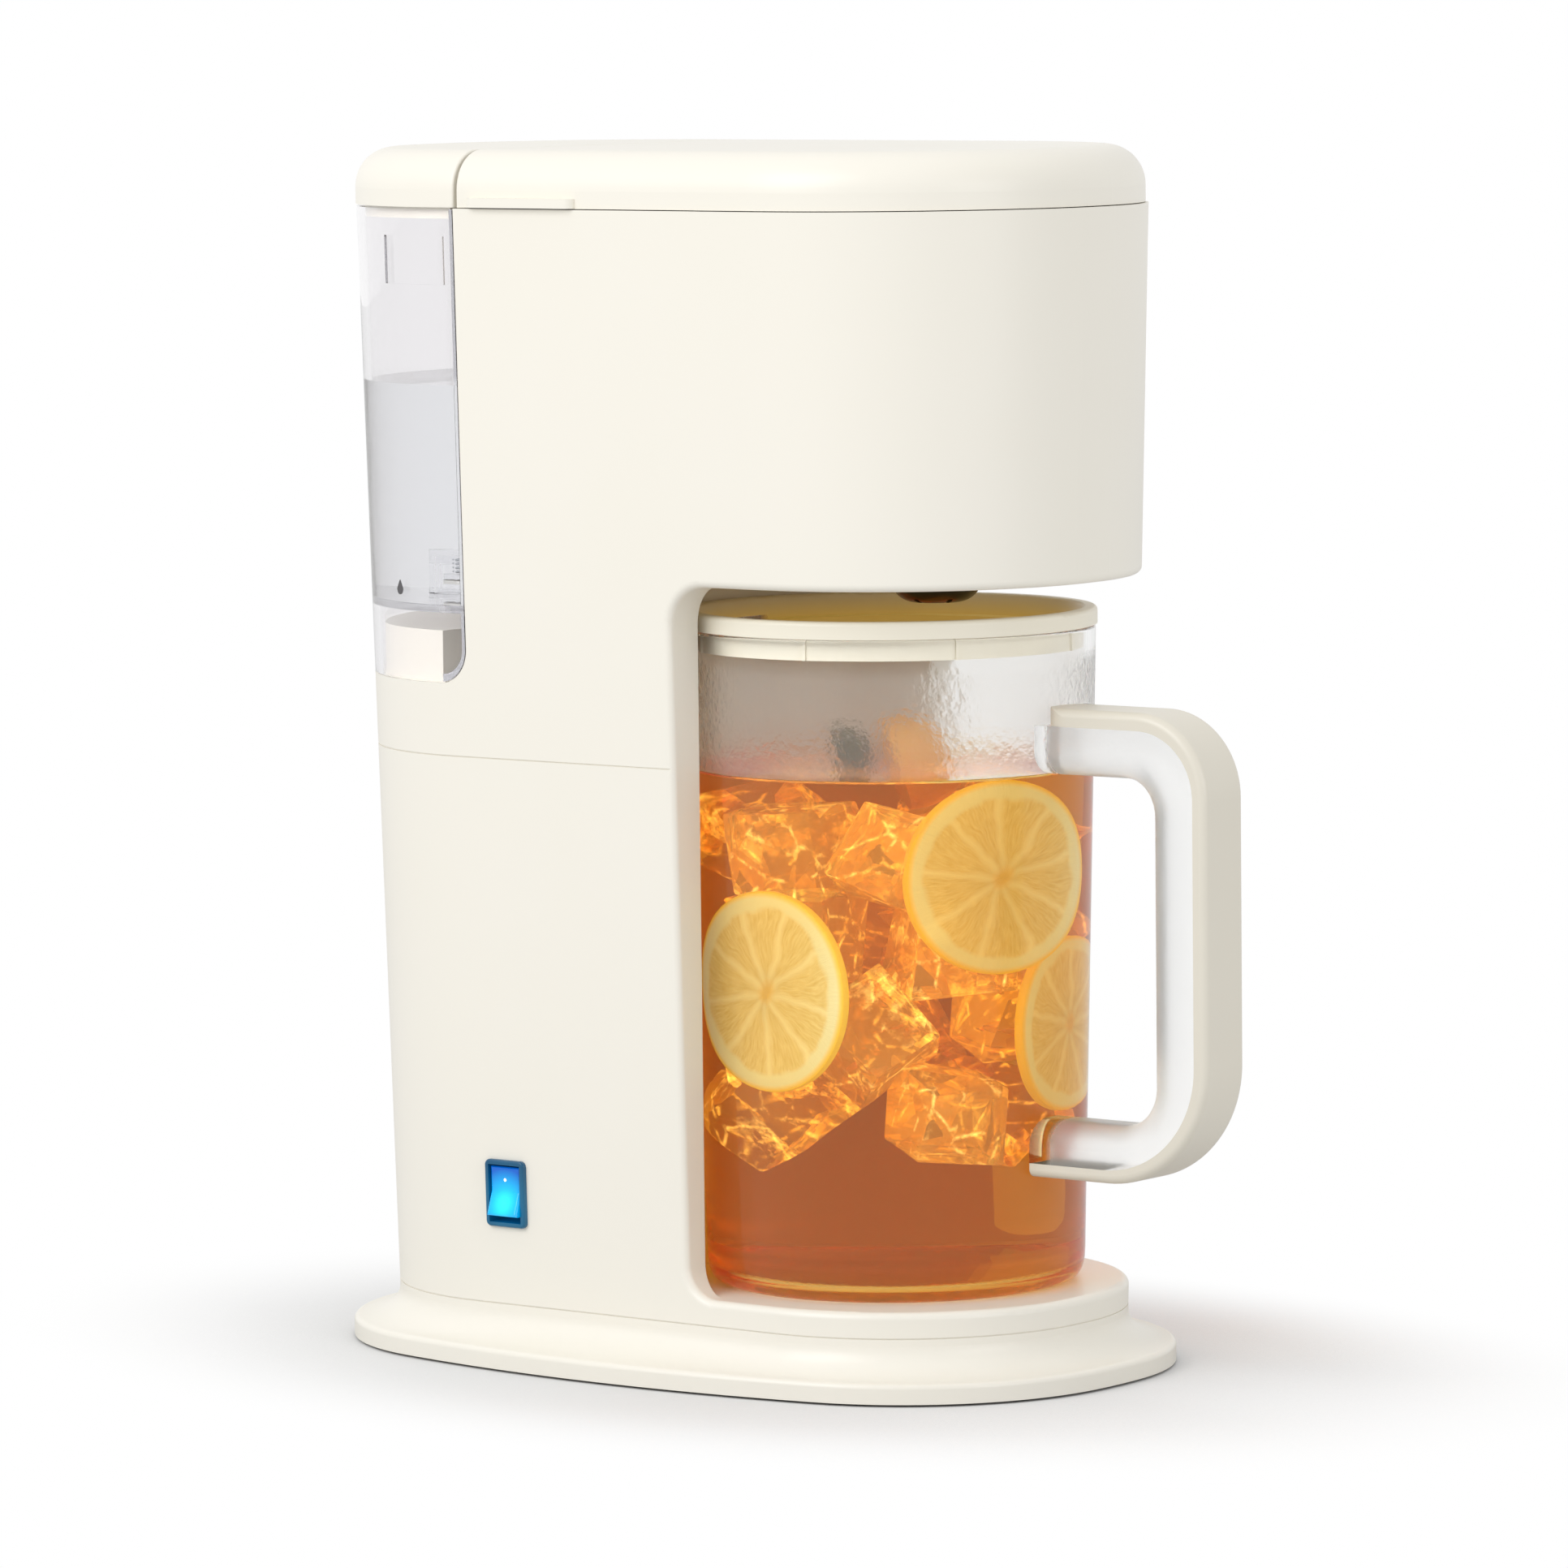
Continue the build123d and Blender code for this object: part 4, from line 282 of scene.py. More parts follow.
# A face throws back about 3% of the light, but nearly none where it is wet. The pitcher's wall is
# wet on the inside only, so each of its two faces gets half.
WET_SHINE = 0.5
clear_tank = clear_plastic("moulded_clear_SAN", "F7F6F7", WETTED_INDEX, 1.0, 18, 0.03)
clear_pitcher = clear_plastic("moulded_clear_SAN_misted", "F8F8F7", WETTED_INDEX, WET_SHINE, 18, 0.03,
                              TEA_TOP_Z, LID_SKIRT_Z)
dress(clear_tank, "water_tank")
dress(clear_pitcher, "pitcher")

# %% [markdown]
# ## The small parts' materials
# Each hidden or small part still gets what it is really made of: glass-filled nylon near heat, soft
# silicone where something seals, zinc-plated steel for the screws, die-cast aluminium round the
# heating element. Noise at the size of each surface's own grain is enough for all of them.

# %% Nylon, polypropylene, rubber and silicone
black_nylon = moulded("glass_filled_black_nylon", "17171A", "0F0F11", 0.32, 0.8, 0.010, 1.53)
grey_pp = moulded("natural_polypropylene", "C9C8C2", "BFBEB8", 0.45, 1.4, 0.012, 1.49)
black_rubber = moulded("EPDM_rubber", "1B1B1B", "131313", 0.75, 0.5, 0.020, 1.52)
white_silicone = moulded("white_silicone_rubber", "E9E8E2", "DFDDD6", 0.55, 0.9, 0.010, 1.43)
dress(black_nylon, "outlet_nozzle", "brew_basket", "filter_frame", "terminal_block", "thermostat")
dress(grey_pp, "base_pan", "tank_port", "water_spout", "spray_channel")
# The valve's cage and plunger are clear too. Under water their plastic is nearly lost to the eye, as
# it bends light only a little more than the water does.
wet_plastic, tree, output = start("clear_polycarbonate_in_water")
place = add(tree, "ShaderNodeTexCoord").outputs["Object"]
haze = add(tree, "ShaderNodeTexNoise", {"Vector": place, "Scale": per_mm(3), "Detail": 2.0})
soft = add(tree, "ShaderNodeMapRange", {"Value": haze.outputs["Fac"], "To Min": 0.05, "To Max": 0.15})
clear_shader = add(tree, "ShaderNodeBsdfPrincipled", {
    "Base Color": srgb("FAFAFB"), "Roughness": soft.outputs["Result"], "IOR": 1.06,
    "Transmission Weight": 1.0})
let_light_in(tree, clear_shader, output, "FFFFFF")
dress(wet_plastic, "tank_valve_cage", "tank_valve_plunger")
dress(black_rubber, "rubber_feet", "cord_gland")
dress(white_silicone, "check_valve", "inlet_hose", "riser_hose", "port_seal", "tank_valve_seal")


# %% Zinc-plated steel, die-cast aluminium and the stainless filter mesh
def metal(name, light, deep, roughness, grain_mm, grain_depth_mm, stretch=(1, 1, 1)):
    """A bare metal, its grain stretched along the way that it was drawn or brushed."""
    material, tree, output = start(name)
    place = add(tree, "ShaderNodeTexCoord").outputs["Object"]
    along = add(tree, "ShaderNodeMapping", {"Vector": place, "Scale": stretch})
    grain = add(tree, "ShaderNodeTexNoise", {"Vector": along.outputs["Vector"],
                                             "Scale": per_mm(grain_mm), "Detail": 4.0})
    tint = add(tree, "ShaderNodeMixRGB", {"Fac": grain.outputs["Fac"], "Color1": srgb(light),
                                          "Color2": srgb(deep)})
    gloss = add(tree, "ShaderNodeMapRange", {"Value": grain.outputs["Fac"], "To Min": roughness - 0.08,
                                             "To Max": roughness + 0.08})
    relief = add(tree, "ShaderNodeBump", {"Height": grain.outputs["Fac"], "Strength": 1.0,
                                          "Distance": grain_depth_mm * MM})
    shader = add(tree, "ShaderNodeBsdfPrincipled", {
        "Base Color": tint.outputs["Color"], "Metallic": 1.0, "Roughness": gloss.outputs["Result"],
        "Normal": relief.outputs["Normal"]})
    tree.links.new(shader.outputs["BSDF"], output.inputs["Surface"])
    return material


zinc_steel = metal("zinc_plated_steel", "C9CCCE", "B4B8BC", 0.34, 0.6, 0.004)
cast_aluminium = metal("die_cast_aluminium", "BFC0C1", "A9AAAC", 0.48, 0.7, 0.03)
dress(zinc_steel, "base_screws", "housing_screws", "deck_screws", "heater_screws", "heater_strap",
      "thermal_fuses", "lid_hinge_pin", "tank_valve_spring")
dress(cast_aluminium, "heater")


# %% [markdown]
# ## The filter's mesh
# The filter's floor is woven stainless wire. Modelling hundreds of wires would cost far more than it shows,
# so two crossing waves stand for the weave: the holes between them are painted dark as painted shade, and
# the rise and fall of the wires comes from the bump.

# %% Woven stainless steel
def woven_mesh(name, pitch_mm):
    """Woven wire: two waves across each other at the mesh's real pitch."""
    material, tree, output = start(name)
    place = add(tree, "ShaderNodeTexCoord").outputs["Object"]
    waves = []
    for direction in ("X", "Y"):
        waves.append(add(tree, "ShaderNodeTexWave", {"Vector": place, "Scale": per_mm(pitch_mm) / 20},
                         wave_type="BANDS", bands_direction=direction, wave_profile="SIN"))
    weave = add(tree, "ShaderNodeMath", {0: waves[0].outputs["Fac"], 1: waves[1].outputs["Fac"]},
                operation="MAXIMUM")
    # The dark colour between the wires is painted shade in the holes.
    colour = add(tree, "ShaderNodeMixRGB", {"Fac": weave.outputs["Value"], "Color1": srgb("2A2A2B"),
                                            "Color2": srgb("C4C5C6")})
    relief = add(tree, "ShaderNodeBump", {"Height": weave.outputs["Value"], "Strength": 1.0,
                                          "Distance": 0.2 * MM})
    shader = add(tree, "ShaderNodeBsdfPrincipled", {
        "Base Color": colour.outputs["Color"], "Metallic": 1.0, "Roughness": 0.32,
        "Normal": relief.outputs["Normal"]})
    tree.links.new(shader.outputs["BSDF"], output.inputs["Surface"])
    return material


# The real mesh has about four wires to a millimetre. That is too fine to show, so this one has one.
dress(woven_mesh("woven_stainless_steel", 1.0), "filter_mesh")

# %% [markdown]
# ## The lit switch
# The rocker is a clear blue polycarbonate shell over a small neon lamp, so it is brightest over the lamp and
# falls off towards its ends. The bezel round it is blue, and the lamp's light on it is painted: it too fades
# away from the lamp, with a faint emission. A gradient by the distance from the lamp gives both glows.

# %% Blue bezel and glowing rocker
LAMP = Vector((0, 65.2, 51.3)) * MM
LAMP_DOT = Vector((0, 65.4, 58.7)) * MM
DOT_RADIUS = 0.55 * MM


def glow(name, near, mid, far, reach_mm, strength, roughness, dot=None):
    """A blue plastic glowing from its lamp and fading away from it, with an optional white dot; on parts
    other than the lens the glow is painted light.
    """
    material, tree, output = start(name)
    place = add(tree, "ShaderNodeTexCoord").outputs["Object"]
    flat = add(tree, "ShaderNodeVectorMath", {0: place, 1: (0, 1, 1)},
               operation="MULTIPLY").outputs["Vector"]
    away = add(tree, "ShaderNodeVectorMath", {0: flat, 1: LAMP}, operation="DISTANCE")
    fade = add(tree, "ShaderNodeMapRange", {"Value": away.outputs["Value"], "From Max": reach_mm * MM})
    ramp = add(tree, "ShaderNodeValToRGB", {"Fac": fade.outputs["Result"]})
    ramp.color_ramp.elements[0].color = srgb(near)
    ramp.color_ramp.elements[1].color = srgb(far)
    ramp.color_ramp.elements.new(0.42).color = srgb(mid)
    colour = ramp.outputs["Color"]
    if dot:
        from_dot = add(tree, "ShaderNodeVectorMath", {0: flat, 1: LAMP_DOT}, operation="DISTANCE")
        on_dot = add(tree, "ShaderNodeMath", {0: from_dot.outputs["Value"], 1: DOT_RADIUS},
                     operation="LESS_THAN")
        colour = add(tree, "ShaderNodeMixRGB", {"Fac": on_dot.outputs["Value"], "Color1": colour,
                                                "Color2": srgb(dot)}).outputs["Color"]
    grain = add(tree, "ShaderNodeTexNoise", {"Vector": place, "Scale": per_mm(0.7), "Detail": 2.0})
    relief = add(tree, "ShaderNodeBump", {"Height": grain.outputs["Fac"], "Strength": 1.0,
                                          "Distance": 0.01 * MM})
    shader = add(tree, "ShaderNodeBsdfPrincipled", {
        "Base Color": colour, "Roughness": roughness, "IOR": 1.58,
        "Emission Color": colour, "Emission Strength": strength,
        "Normal": relief.outputs["Normal"]})
    tree.links.new(shader.outputs["BSDF"], output.inputs["Surface"])
    return material


dress(glow("blue_polycarbonate_lens", "26EDF4", "00B4EC", "0058B8", 11.0, 0.45, 0.18, "F4FFFF"),
      "switch_rocker")
# The bezel's gradient and faint emission are painted light from the switch's lamp.
dress(glow("blue_PBT_bezel", "0870A0", "06648A", "044C70", 16.0, 0.08, 0.30), "switch_body")

# %% [markdown]
# ## Turning shapes
# The tea fills a round pitcher, so it is a half profile spun about the pitcher's axis. Spin leaves
# a seam where the last step meets the first and a pole on the axis; merging doubles closes both,
# and the normals are recalculated after that, so that they all point outwards.

# %% A mesh from a spun profile, and an object from a mesh
def spun(profile, axis, steps):
    """A closed bmesh turned from a profile of (radius, height) in millimetres."""
    bm = bmesh.new()
    ring = [bm.verts.new(axis + Vector((radius, 0, height)) * MM) for radius, height in profile]
    edges = [bm.edges.new(pair) for pair in zip(ring, ring[1:])]
    bmesh.ops.spin(bm, geom=ring + edges, cent=axis, axis=(0, 0, 1), angle=math.tau, steps=steps,
                   use_merge=True)
    bmesh.ops.remove_doubles(bm, verts=bm.verts, dist=1e-6)
    bmesh.ops.recalc_face_normals(bm, faces=bm.faces)
    return bm


def piece(name, bm, material, body, smooth=True, sharp_degrees=35):
    """Turns a bmesh into an object that rides on a body."""
    mesh = bpy.data.meshes.new(name)
    bm.to_mesh(mesh)
    bm.free()
    mesh.materials.append(material)
    if smooth:
        mesh.shade_smooth()
        mesh.set_sharp_from_angle(angle=math.radians(sharp_degrees))
    made = bpy.data.objects.new(name, mesh)
    bpy.context.scene.collection.objects.link(made)
    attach(made, body)
    print(name, "has", len(mesh.polygons), "faces and rides on", body)
    return made


# %% [markdown]
# ## The tea
# Tea is clear but strongly coloured, and how dark it looks depends on how far the light has gone
# through it. That is what volume absorption does, so the surface is plain water and the colour is
# in the volume. The tea's skin lies a little inside the pitcher's wall. With a gap of air between
# them the wall would mirror like a thermos, and with the two at the same place they would flicker.
# A wetted wall hardly mirrors at all, so the tea's skin gets only a tenth of water's own shine.

# %% Tea
def liquid(name, body, clearness, shine, colour, density, swirl_mm, swirl_depth_mm):
    """A liquid: a clear, slightly wavy skin, and a colour that deepens with the way through it."""
    material, tree, output = start(name)
    place = add(tree, "ShaderNodeTexCoord").outputs["Object"]
    swirl = add(tree, "ShaderNodeTexNoise", {"Vector": place, "Scale": per_mm(swirl_mm), "Detail": 2.0})
    surface = add(tree, "ShaderNodeBump", {"Height": swirl.outputs["Fac"], "Strength": 1.0,
                                           "Distance": swirl_depth_mm * MM})
    shader = add(tree, "ShaderNodeBsdfPrincipled", {
        "Base Color": srgb(body), "Roughness": 0.0, "IOR": 1.333, "Transmission Weight": clearness,
        "Specular Tint": (shine, shine, shine, 1.0), "Normal": surface.outputs["Normal"]})
    let_light_in(tree, shader, output, "FFFFFF")
    volume = add(tree, "ShaderNodeVolumeAbsorption", {"Color": (*colour, 1.0), "Density": density})
    tree.links.new(volume.outputs["Volume"], output.inputs["Volume"])
    return material


TEA_SINK = 0.2      # millimetres that the tea's skin goes into the wall
MENISCUS = 0.9


SHOULDER_Z, BRIM_Z = 41.0, 233.2        # where the pitcher's straight wall starts and ends
SHOULDER_R, BRIM_R = 56.9, 61.6


def inner_radius(height):
    """The radius of the pitcher's inside at a height, above its rounded bottom."""
    return SHOULDER_R + (BRIM_R - SHOULDER_R) * (height - SHOULDER_Z) / (BRIM_Z - SHOULDER_Z)


TEA_SHINE, WATER_SHINE = 0.1, 1.0
# The floor is as clear as the wall and takes the tea's colour, so the tea goes deep into it.
tea_profile = [(0, 29.0), (46.0, 29.0), (50.5, 28.6), (54.2, 29.6), (56.6, 32.2), (57.9, 36.5)]
tea_profile += [(inner_radius(h) + TEA_SINK, h) for h in (43, 60, 90, 120, 150, 175, TEA_TOP_Z - 0.6)]
top_radius = inner_radius(TEA_TOP_Z)
tea_profile += [(top_radius + TEA_SINK, TEA_TOP_Z + MENISCUS), (top_radius - 1.2, TEA_TOP_Z + 0.1),
                (top_radius - 3.0, TEA_TOP_Z - 0.1), (0, TEA_TOP_Z - 0.1)]
brewed_tea = liquid("brewed_black_tea", "FFE69A", 0.94, TEA_SHINE, (0.98, 0.71, 0.03), 34.0, 30, 0.04)
piece("tea", spun(tea_profile, PITCHER_AXIS, 128), brewed_tea, "pitcher")

# %% [markdown]
# ## Lemon slices
# A slice is a disc with a yellow peel, white pith and about nine segments. The shape is a spun
# profile with a slightly rounded rim. Its colours are drawn in polar coordinates from a UV map whose
# unit circle is the slice's edge: the distance from the middle gives peel, pith and pulp, and the
# angle gives the membranes. A little noise bends both, because no two segments are alike.

# %% Cut lemon
SEGMENTS = 9


def cut_lemon(name):
    """Peel, pith, membranes and juicy pulp, in polar coordinates."""
    material, tree, output = start(name)
    flat = add(tree, "ShaderNodeUVMap", uv_map="slice").outputs["UV"]
    wander = add(tree, "ShaderNodeTexNoise", {"Vector": flat, "Scale": 2.2, "Detail": 2.0})
    pushed = add(tree, "ShaderNodeVectorMath", {0: wander.outputs["Color"], 1: (0.5, 0.5, 0.5)},
                 operation="SUBTRACT")
    nudge = add(tree, "ShaderNodeVectorMath", {0: pushed.outputs["Vector"], 1: (0.22, 0.22, 0.0)},
                operation="MULTIPLY")
    place = add(tree, "ShaderNodeVectorMath", {0: flat, 1: nudge.outputs["Vector"]}).outputs["Vector"]
    across = add(tree, "ShaderNodeSeparateXYZ", {"Vector": place})
    out = add(tree, "ShaderNodeVectorMath", {0: place}, operation="LENGTH").outputs["Value"]
    edge = add(tree, "ShaderNodeVectorMath", {0: flat}, operation="LENGTH").outputs["Value"]
    angle = add(tree, "ShaderNodeMath", {0: across.outputs["Y"], 1: across.outputs["X"]},
                operation="ARCTAN2").outputs["Value"]
    # The membranes: how far round a segment, folded so that 0 is its edge and 0.5 its middle.
    count = add(tree, "ShaderNodeMath", {0: angle, 1: SEGMENTS / math.tau}, operation="MULTIPLY")
    fold = add(tree, "ShaderNodeMath", {0: count.outputs["Value"], 1: 0.5}, operation="PINGPONG")
    span = add(tree, "ShaderNodeMath", {0: fold.outputs["Value"], 1: out}, operation="MULTIPLY")
    juicy = add(tree, "ShaderNodeMapRange", {"Value": span.outputs["Value"], "From Min": 0.006,
                                             "From Max": 0.085})
    # The pulp's sacs are long and thin, and point at the middle.
    sac_place = add(tree, "ShaderNodeCombineXYZ", {"X": angle, "Y": out})
    stretched = add(tree, "ShaderNodeMapping", {"Vector": sac_place.outputs["Vector"],
                                                "Scale": (16.0, 4.0, 1.0)})
    sacs = add(tree, "ShaderNodeTexNoise", {"Vector": stretched.outputs["Vector"], "Scale": 1.6,
                                            "Detail": 4.0, "Roughness": 0.65})
    wet = add(tree, "ShaderNodeMapRange", {"Value": sacs.outputs["Fac"], "From Min": 0.32, "From Max": 0.68})
    pulp = add(tree, "ShaderNodeMixRGB", {"Fac": wet.outputs["Result"], "Color1": srgb("F2EFD6"),
                                          "Color2": srgb("E0D2A4")})
    inside = add(tree, "ShaderNodeMixRGB", {"Fac": juicy.outputs["Result"], "Color1": srgb("F6F8F0"),
                                            "Color2": pulp.outputs["Color"]})
    core = add(tree, "ShaderNodeMapRange", {"Value": out, "From Min": 0.05, "From Max": 0.14})
    with_core = add(tree, "ShaderNodeMixRGB", {"Fac": core.outputs["Result"], "Color1": srgb("F6DFA0"),
                                               "Color2": inside.outputs["Color"]})
    pith = add(tree, "ShaderNodeMapRange", {"Value": out, "From Min": 0.79, "From Max": 0.84})
    with_pith = add(tree, "ShaderNodeMixRGB", {"Fac": pith.outputs["Result"],
                                               "Color1": with_core.outputs["Color"],
                                               "Color2": srgb("F0FAFF")})
    peel = add(tree, "ShaderNodeMapRange", {"Value": edge, "From Min": 0.93, "From Max": 0.985})
    colour = add(tree, "ShaderNodeMixRGB", {"Fac": peel.outputs["Result"],
                                            "Color1": with_pith.outputs["Color"],
                                            "Color2": srgb("FFDF62")})
    relief = add(tree, "ShaderNodeBump", {"Height": sacs.outputs["Fac"], "Strength": 1.0,
                                          "Distance": 0.4 * MM})
    # The emission is painted light: it stands for the light that the pitcher and the tea focus onto the
    # slices.
    skin = add(tree, "ShaderNodeBsdfPrincipled", {
        "Base Color": colour.outputs["Color"], "Roughness": 0.30, "IOR": 1.36,
        "Emission Color": colour.outputs["Color"], "Emission Strength": 0.33,
        "Normal": relief.outputs["Normal"]})
    light_through_and_painted_glow = add(tree, "ShaderNodeBsdfTranslucent", {"Color": colour.outputs["Color"]})
    both = add(tree, "ShaderNodeMixShader", {"Fac": 0.35})
    tree.links.new(skin.outputs["BSDF"], both.inputs[1])
    tree.links.new(light_through_and_painted_glow.outputs["BSDF"], both.inputs[2])
    tree.links.new(both.outputs["Shader"], output.inputs["Surface"])
    return material


# %% Three slices against the pitcher's wall
SLICE_THICKNESS = 4.0


def lemon_slice(bm, radius, height, along, reach, facing, turn):
    """A slice at a place round the pitcher (an angle and a reach from the axis), facing an angle."""
    half = SLICE_THICKNESS / 2
    rim = [(0, half), (0.84 * radius, half), (0.96 * radius, half - 0.1), (radius - 0.2, half - 0.7),
           (radius, half - 1.4)]
    disc = spun(rim + [(r, -h) for r, h in reversed(rim)], Vector(), 64)
    uv = disc.loops.layers.uv.new("slice")
    for face in disc.faces:
        for loop in face.loops:
            loop[uv].uv = loop.vert.co.xy / (radius * MM)
    upright = Matrix.Rotation(facing, 4, "Z") @ Matrix.Rotation(math.radians(90), 4, "X")
    middle = PITCHER_AXIS + Vector((reach * math.sin(along), -reach * math.cos(along), height)) * MM
    disc.transform(Matrix.Translation(middle) @ upright @ Matrix.Rotation(turn, 4, "Z"))
    mesh = bpy.data.meshes.new("slice")
    disc.to_mesh(mesh)
    disc.free()
    bm.from_mesh(mesh)
    bpy.data.meshes.remove(mesh)


# Radius, height, where it floats (angle and reach from the axis), the angle it faces, its own turn.
SLICES = [(30.3, 157.5, -9.0, 42.5, -25.0, 12.0), (31.4, 122.5, -101.0, 48.0, -101.0, 31.0),
          (27.5, 108.5, 33.0, 43.5, 18.0, 47.0)]
slices = bmesh.new()
for radius, height, along, reach, facing, turn in SLICES:
    lemon_slice(slices, radius, height, math.radians(along), reach, math.radians(facing),
                math.radians(turn))
piece("lemon_slices", slices, cut_lemon("cut_lemon"), "pitcher")

# %% [markdown]
# ## Ice
# Each cube starts as a bmesh cube. Real cubes are chipped and uneven, so every corner moves a little
# before the edges are bevelled. They float, so they crowd the top of the tea in four loose layers.
# Ice bends light almost exactly as tea does and would vanish in it: what shows are its chipped facets, its
# cracks and the air inside it. Two cell patterns stand for those. One leans the surface another way in each
# cell, and the other draws the thin lines between cells. Painted light, an emission, stands for the light
# that the cracks and the air collect, which a render with this few rays would miss: it brightens the cracks
# and paints glints on some facets.

# %% Ice
def cloudy_ice(name):
    """Ice: faces broken into facets, with painted light on the cracks and painted glints for the air inside.
    """
    material, tree, output = start(name)
    place = add(tree, "ShaderNodeTexCoord").outputs["Object"]
    warp = add(tree, "ShaderNodeTexNoise", {"Vector": place, "Scale": per_mm(14), "Detail": 2.0})
    push = add(tree, "ShaderNodeVectorMath", {0: warp.outputs["Color"], 1: (0.003, 0.003, 0.003)},
               operation="MULTIPLY")
    bent = add(tree, "ShaderNodeVectorMath", {0: place, 1: push.outputs["Vector"]}).outputs["Vector"]
    facets = add(tree, "ShaderNodeTexVoronoi", {"Vector": bent, "Scale": per_mm(13)})
    chance = add(tree, "ShaderNodeSeparateXYZ", {"Vector": facets.outputs["Color"]})
    # Each facet leans its own way, so it throws back a different part of what is round it.
    lean = add(tree, "ShaderNodeVectorMath", {0: facets.outputs["Color"], 1: (0.5, 0.5, 0.5)},
               operation="SUBTRACT")
    leaning = add(tree, "ShaderNodeVectorMath", {0: lean.outputs["Vector"], "Scale": 0.55},
                  operation="SCALE")
    tipped = add(tree, "ShaderNodeVectorMath", {0: add(tree, "ShaderNodeNewGeometry").outputs["Normal"],
                                                1: leaning.outputs["Vector"]})
    facing = add(tree, "ShaderNodeVectorMath", {0: tipped.outputs["Vector"]}, operation="NORMALIZE")
    edges = add(tree, "ShaderNodeTexVoronoi", {"Vector": bent, "Scale": per_mm(16)},
                feature="DISTANCE_TO_EDGE")
    cracks = add(tree, "ShaderNodeMapRange", {"Value": edges.outputs["Distance"], "From Min": 0.045,
                                              "From Max": 0.0})
    cloud = add(tree, "ShaderNodeTexNoise", {"Vector": place, "Scale": per_mm(7), "Detail": 5.0,
                                             "Roughness": 0.7})
    some = add(tree, "ShaderNodeMapRange", {"Value": cloud.outputs["Fac"], "From Min": 0.48,
                                            "From Max": 0.68})
    # Painted glints: some facets glow, standing for light caught by the air inside.
    glint = add(tree, "ShaderNodeMapRange", {"Value": chance.outputs["X"], "From Min": 0.76,
                                             "From Max": 1.0})
    lit = add(tree, "ShaderNodeMath", {0: cracks.outputs["Result"], 1: glint.outputs["Result"]})
    shown = add(tree, "ShaderNodeMath", {0: lit.outputs["Value"], 1: some.outputs["Result"]},
                operation="MULTIPLY")
    # Painted light: the cracks and the glints glow by emission, over a faint glow everywhere.
    bright = add(tree, "ShaderNodeMapRange", {"Value": shown.outputs["Value"], "To Min": 0.03,
                                              "To Max": 1.7})
    tint = add(tree, "ShaderNodeMixRGB", {"Fac": some.outputs["Result"], "Color1": srgb("FFEEC4"),
                                          "Color2": srgb("FFFBEC")})
    frost = add(tree, "ShaderNodeMapRange", {"Value": some.outputs["Result"], "To Min": 0.02,
                                             "To Max": 0.22})
    shader = add(tree, "ShaderNodeBsdfPrincipled", {
        "Base Color": tint.outputs["Color"], "Roughness": frost.outputs["Result"], "IOR": 1.14,
        "Transmission Weight": 0.84, "Coat Weight": 0.4, "Coat Roughness": 0.04, "Coat IOR": 1.5,
        "Emission Color": srgb("FFE8B0"), "Emission Strength": bright.outputs["Result"],
        "Normal": facing.outputs["Vector"], "Coat Normal": facing.outputs["Vector"]})
    let_light_in(tree, shader, output, "FFFFFF")
    return material


ICE_LAYERS = [(82, 3), (108, 4), (137, 4), (167, 5)]    # height of each layer and how many cubes
ICE_SIZE = 27.0
ICE_RING = 28.0         # how far the cubes' centres stand from the axis
CHIP = 3.0
BEHIND_SLICE = 15.0     # the cubes' centres keep this far behind a lemon slice


def behind_slices(centre):
    """A cube's centre, moved back where it would hide a lemon slice."""
    for radius, height, along, reach, facing, turn in SLICES:
        at, way = math.radians(along), math.radians(facing)
        middle = PITCHER_AXIS / MM + Vector((reach * math.sin(at), -reach * math.cos(at), height))
        outwards = Vector((math.sin(way), -math.cos(way), 0))
        ahead = (centre - middle).dot(outwards)
        beside = (centre - middle - outwards * ahead).length
        if beside < radius + 4 and ahead > -BEHIND_SLICE:
            centre = centre - outwards * (ahead + BEHIND_SLICE)
    return centre


rng = random.Random(7)
ice = bmesh.new()
for layer, (height, count) in enumerate(ICE_LAYERS):
    for n in range(count):
        turn = math.tau * (n + 0.37 * layer) / count + rng.uniform(-0.25, 0.25)
        centre = PITCHER_AXIS / MM + Vector((ICE_RING * math.cos(turn), ICE_RING * math.sin(turn),
                                             height + rng.uniform(-3, 3)))
        centre = behind_slices(centre) * MM
        tilt = Quaternion((rng.uniform(-1, 1), rng.uniform(-1, 1), rng.uniform(-1, 1)),
                          rng.uniform(0.2, 1.3)).normalized().to_matrix().to_4x4()
        size = ICE_SIZE * rng.uniform(0.84, 1.05) * MM
        cube = bmesh.ops.create_cube(ice, size=size, matrix=Matrix.Translation(centre) @ tilt)["verts"]
        for vert in cube:
            vert.co += Vector((rng.uniform(-1, 1), rng.uniform(-1, 1), rng.uniform(-1, 1))) * CHIP * MM
            vert.co.z = min(vert.co.z, (TEA_TOP_Z - 1.5) * MM)
bmesh.ops.bevel(ice, geom=ice.edges, offset=0.9 * MM, offset_type="OFFSET", segments=2, profile=0.5,
                affect="EDGES", clamp_overlap=True, material=-1)
piece("ice_cubes", ice, cloudy_ice("cloudy_ice"), "pitcher", sharp_degrees=30)

# %% [markdown]
# ## The garnish at the surface
# A wedge of orange and a sprig of mint float in the tea, behind the misted wall, where they show as soft
# patches of colour. The wedge is a flattened ball cut through its middle. The sprig is a few leaves, each
# one a circle drawn out to a point, tilted, and given a thickness.

# %% Orange wedge and mint
BESIDE = Vector((0.603, -0.797, 0))      # across the camera's view, towards its right
WEDGE_PLACE = BESIDE * 4.0 + Vector((0, 0, 191.0))
SPRIG_PLACE = BESIDE * -12.0 + Vector((0, 0, 190.0))


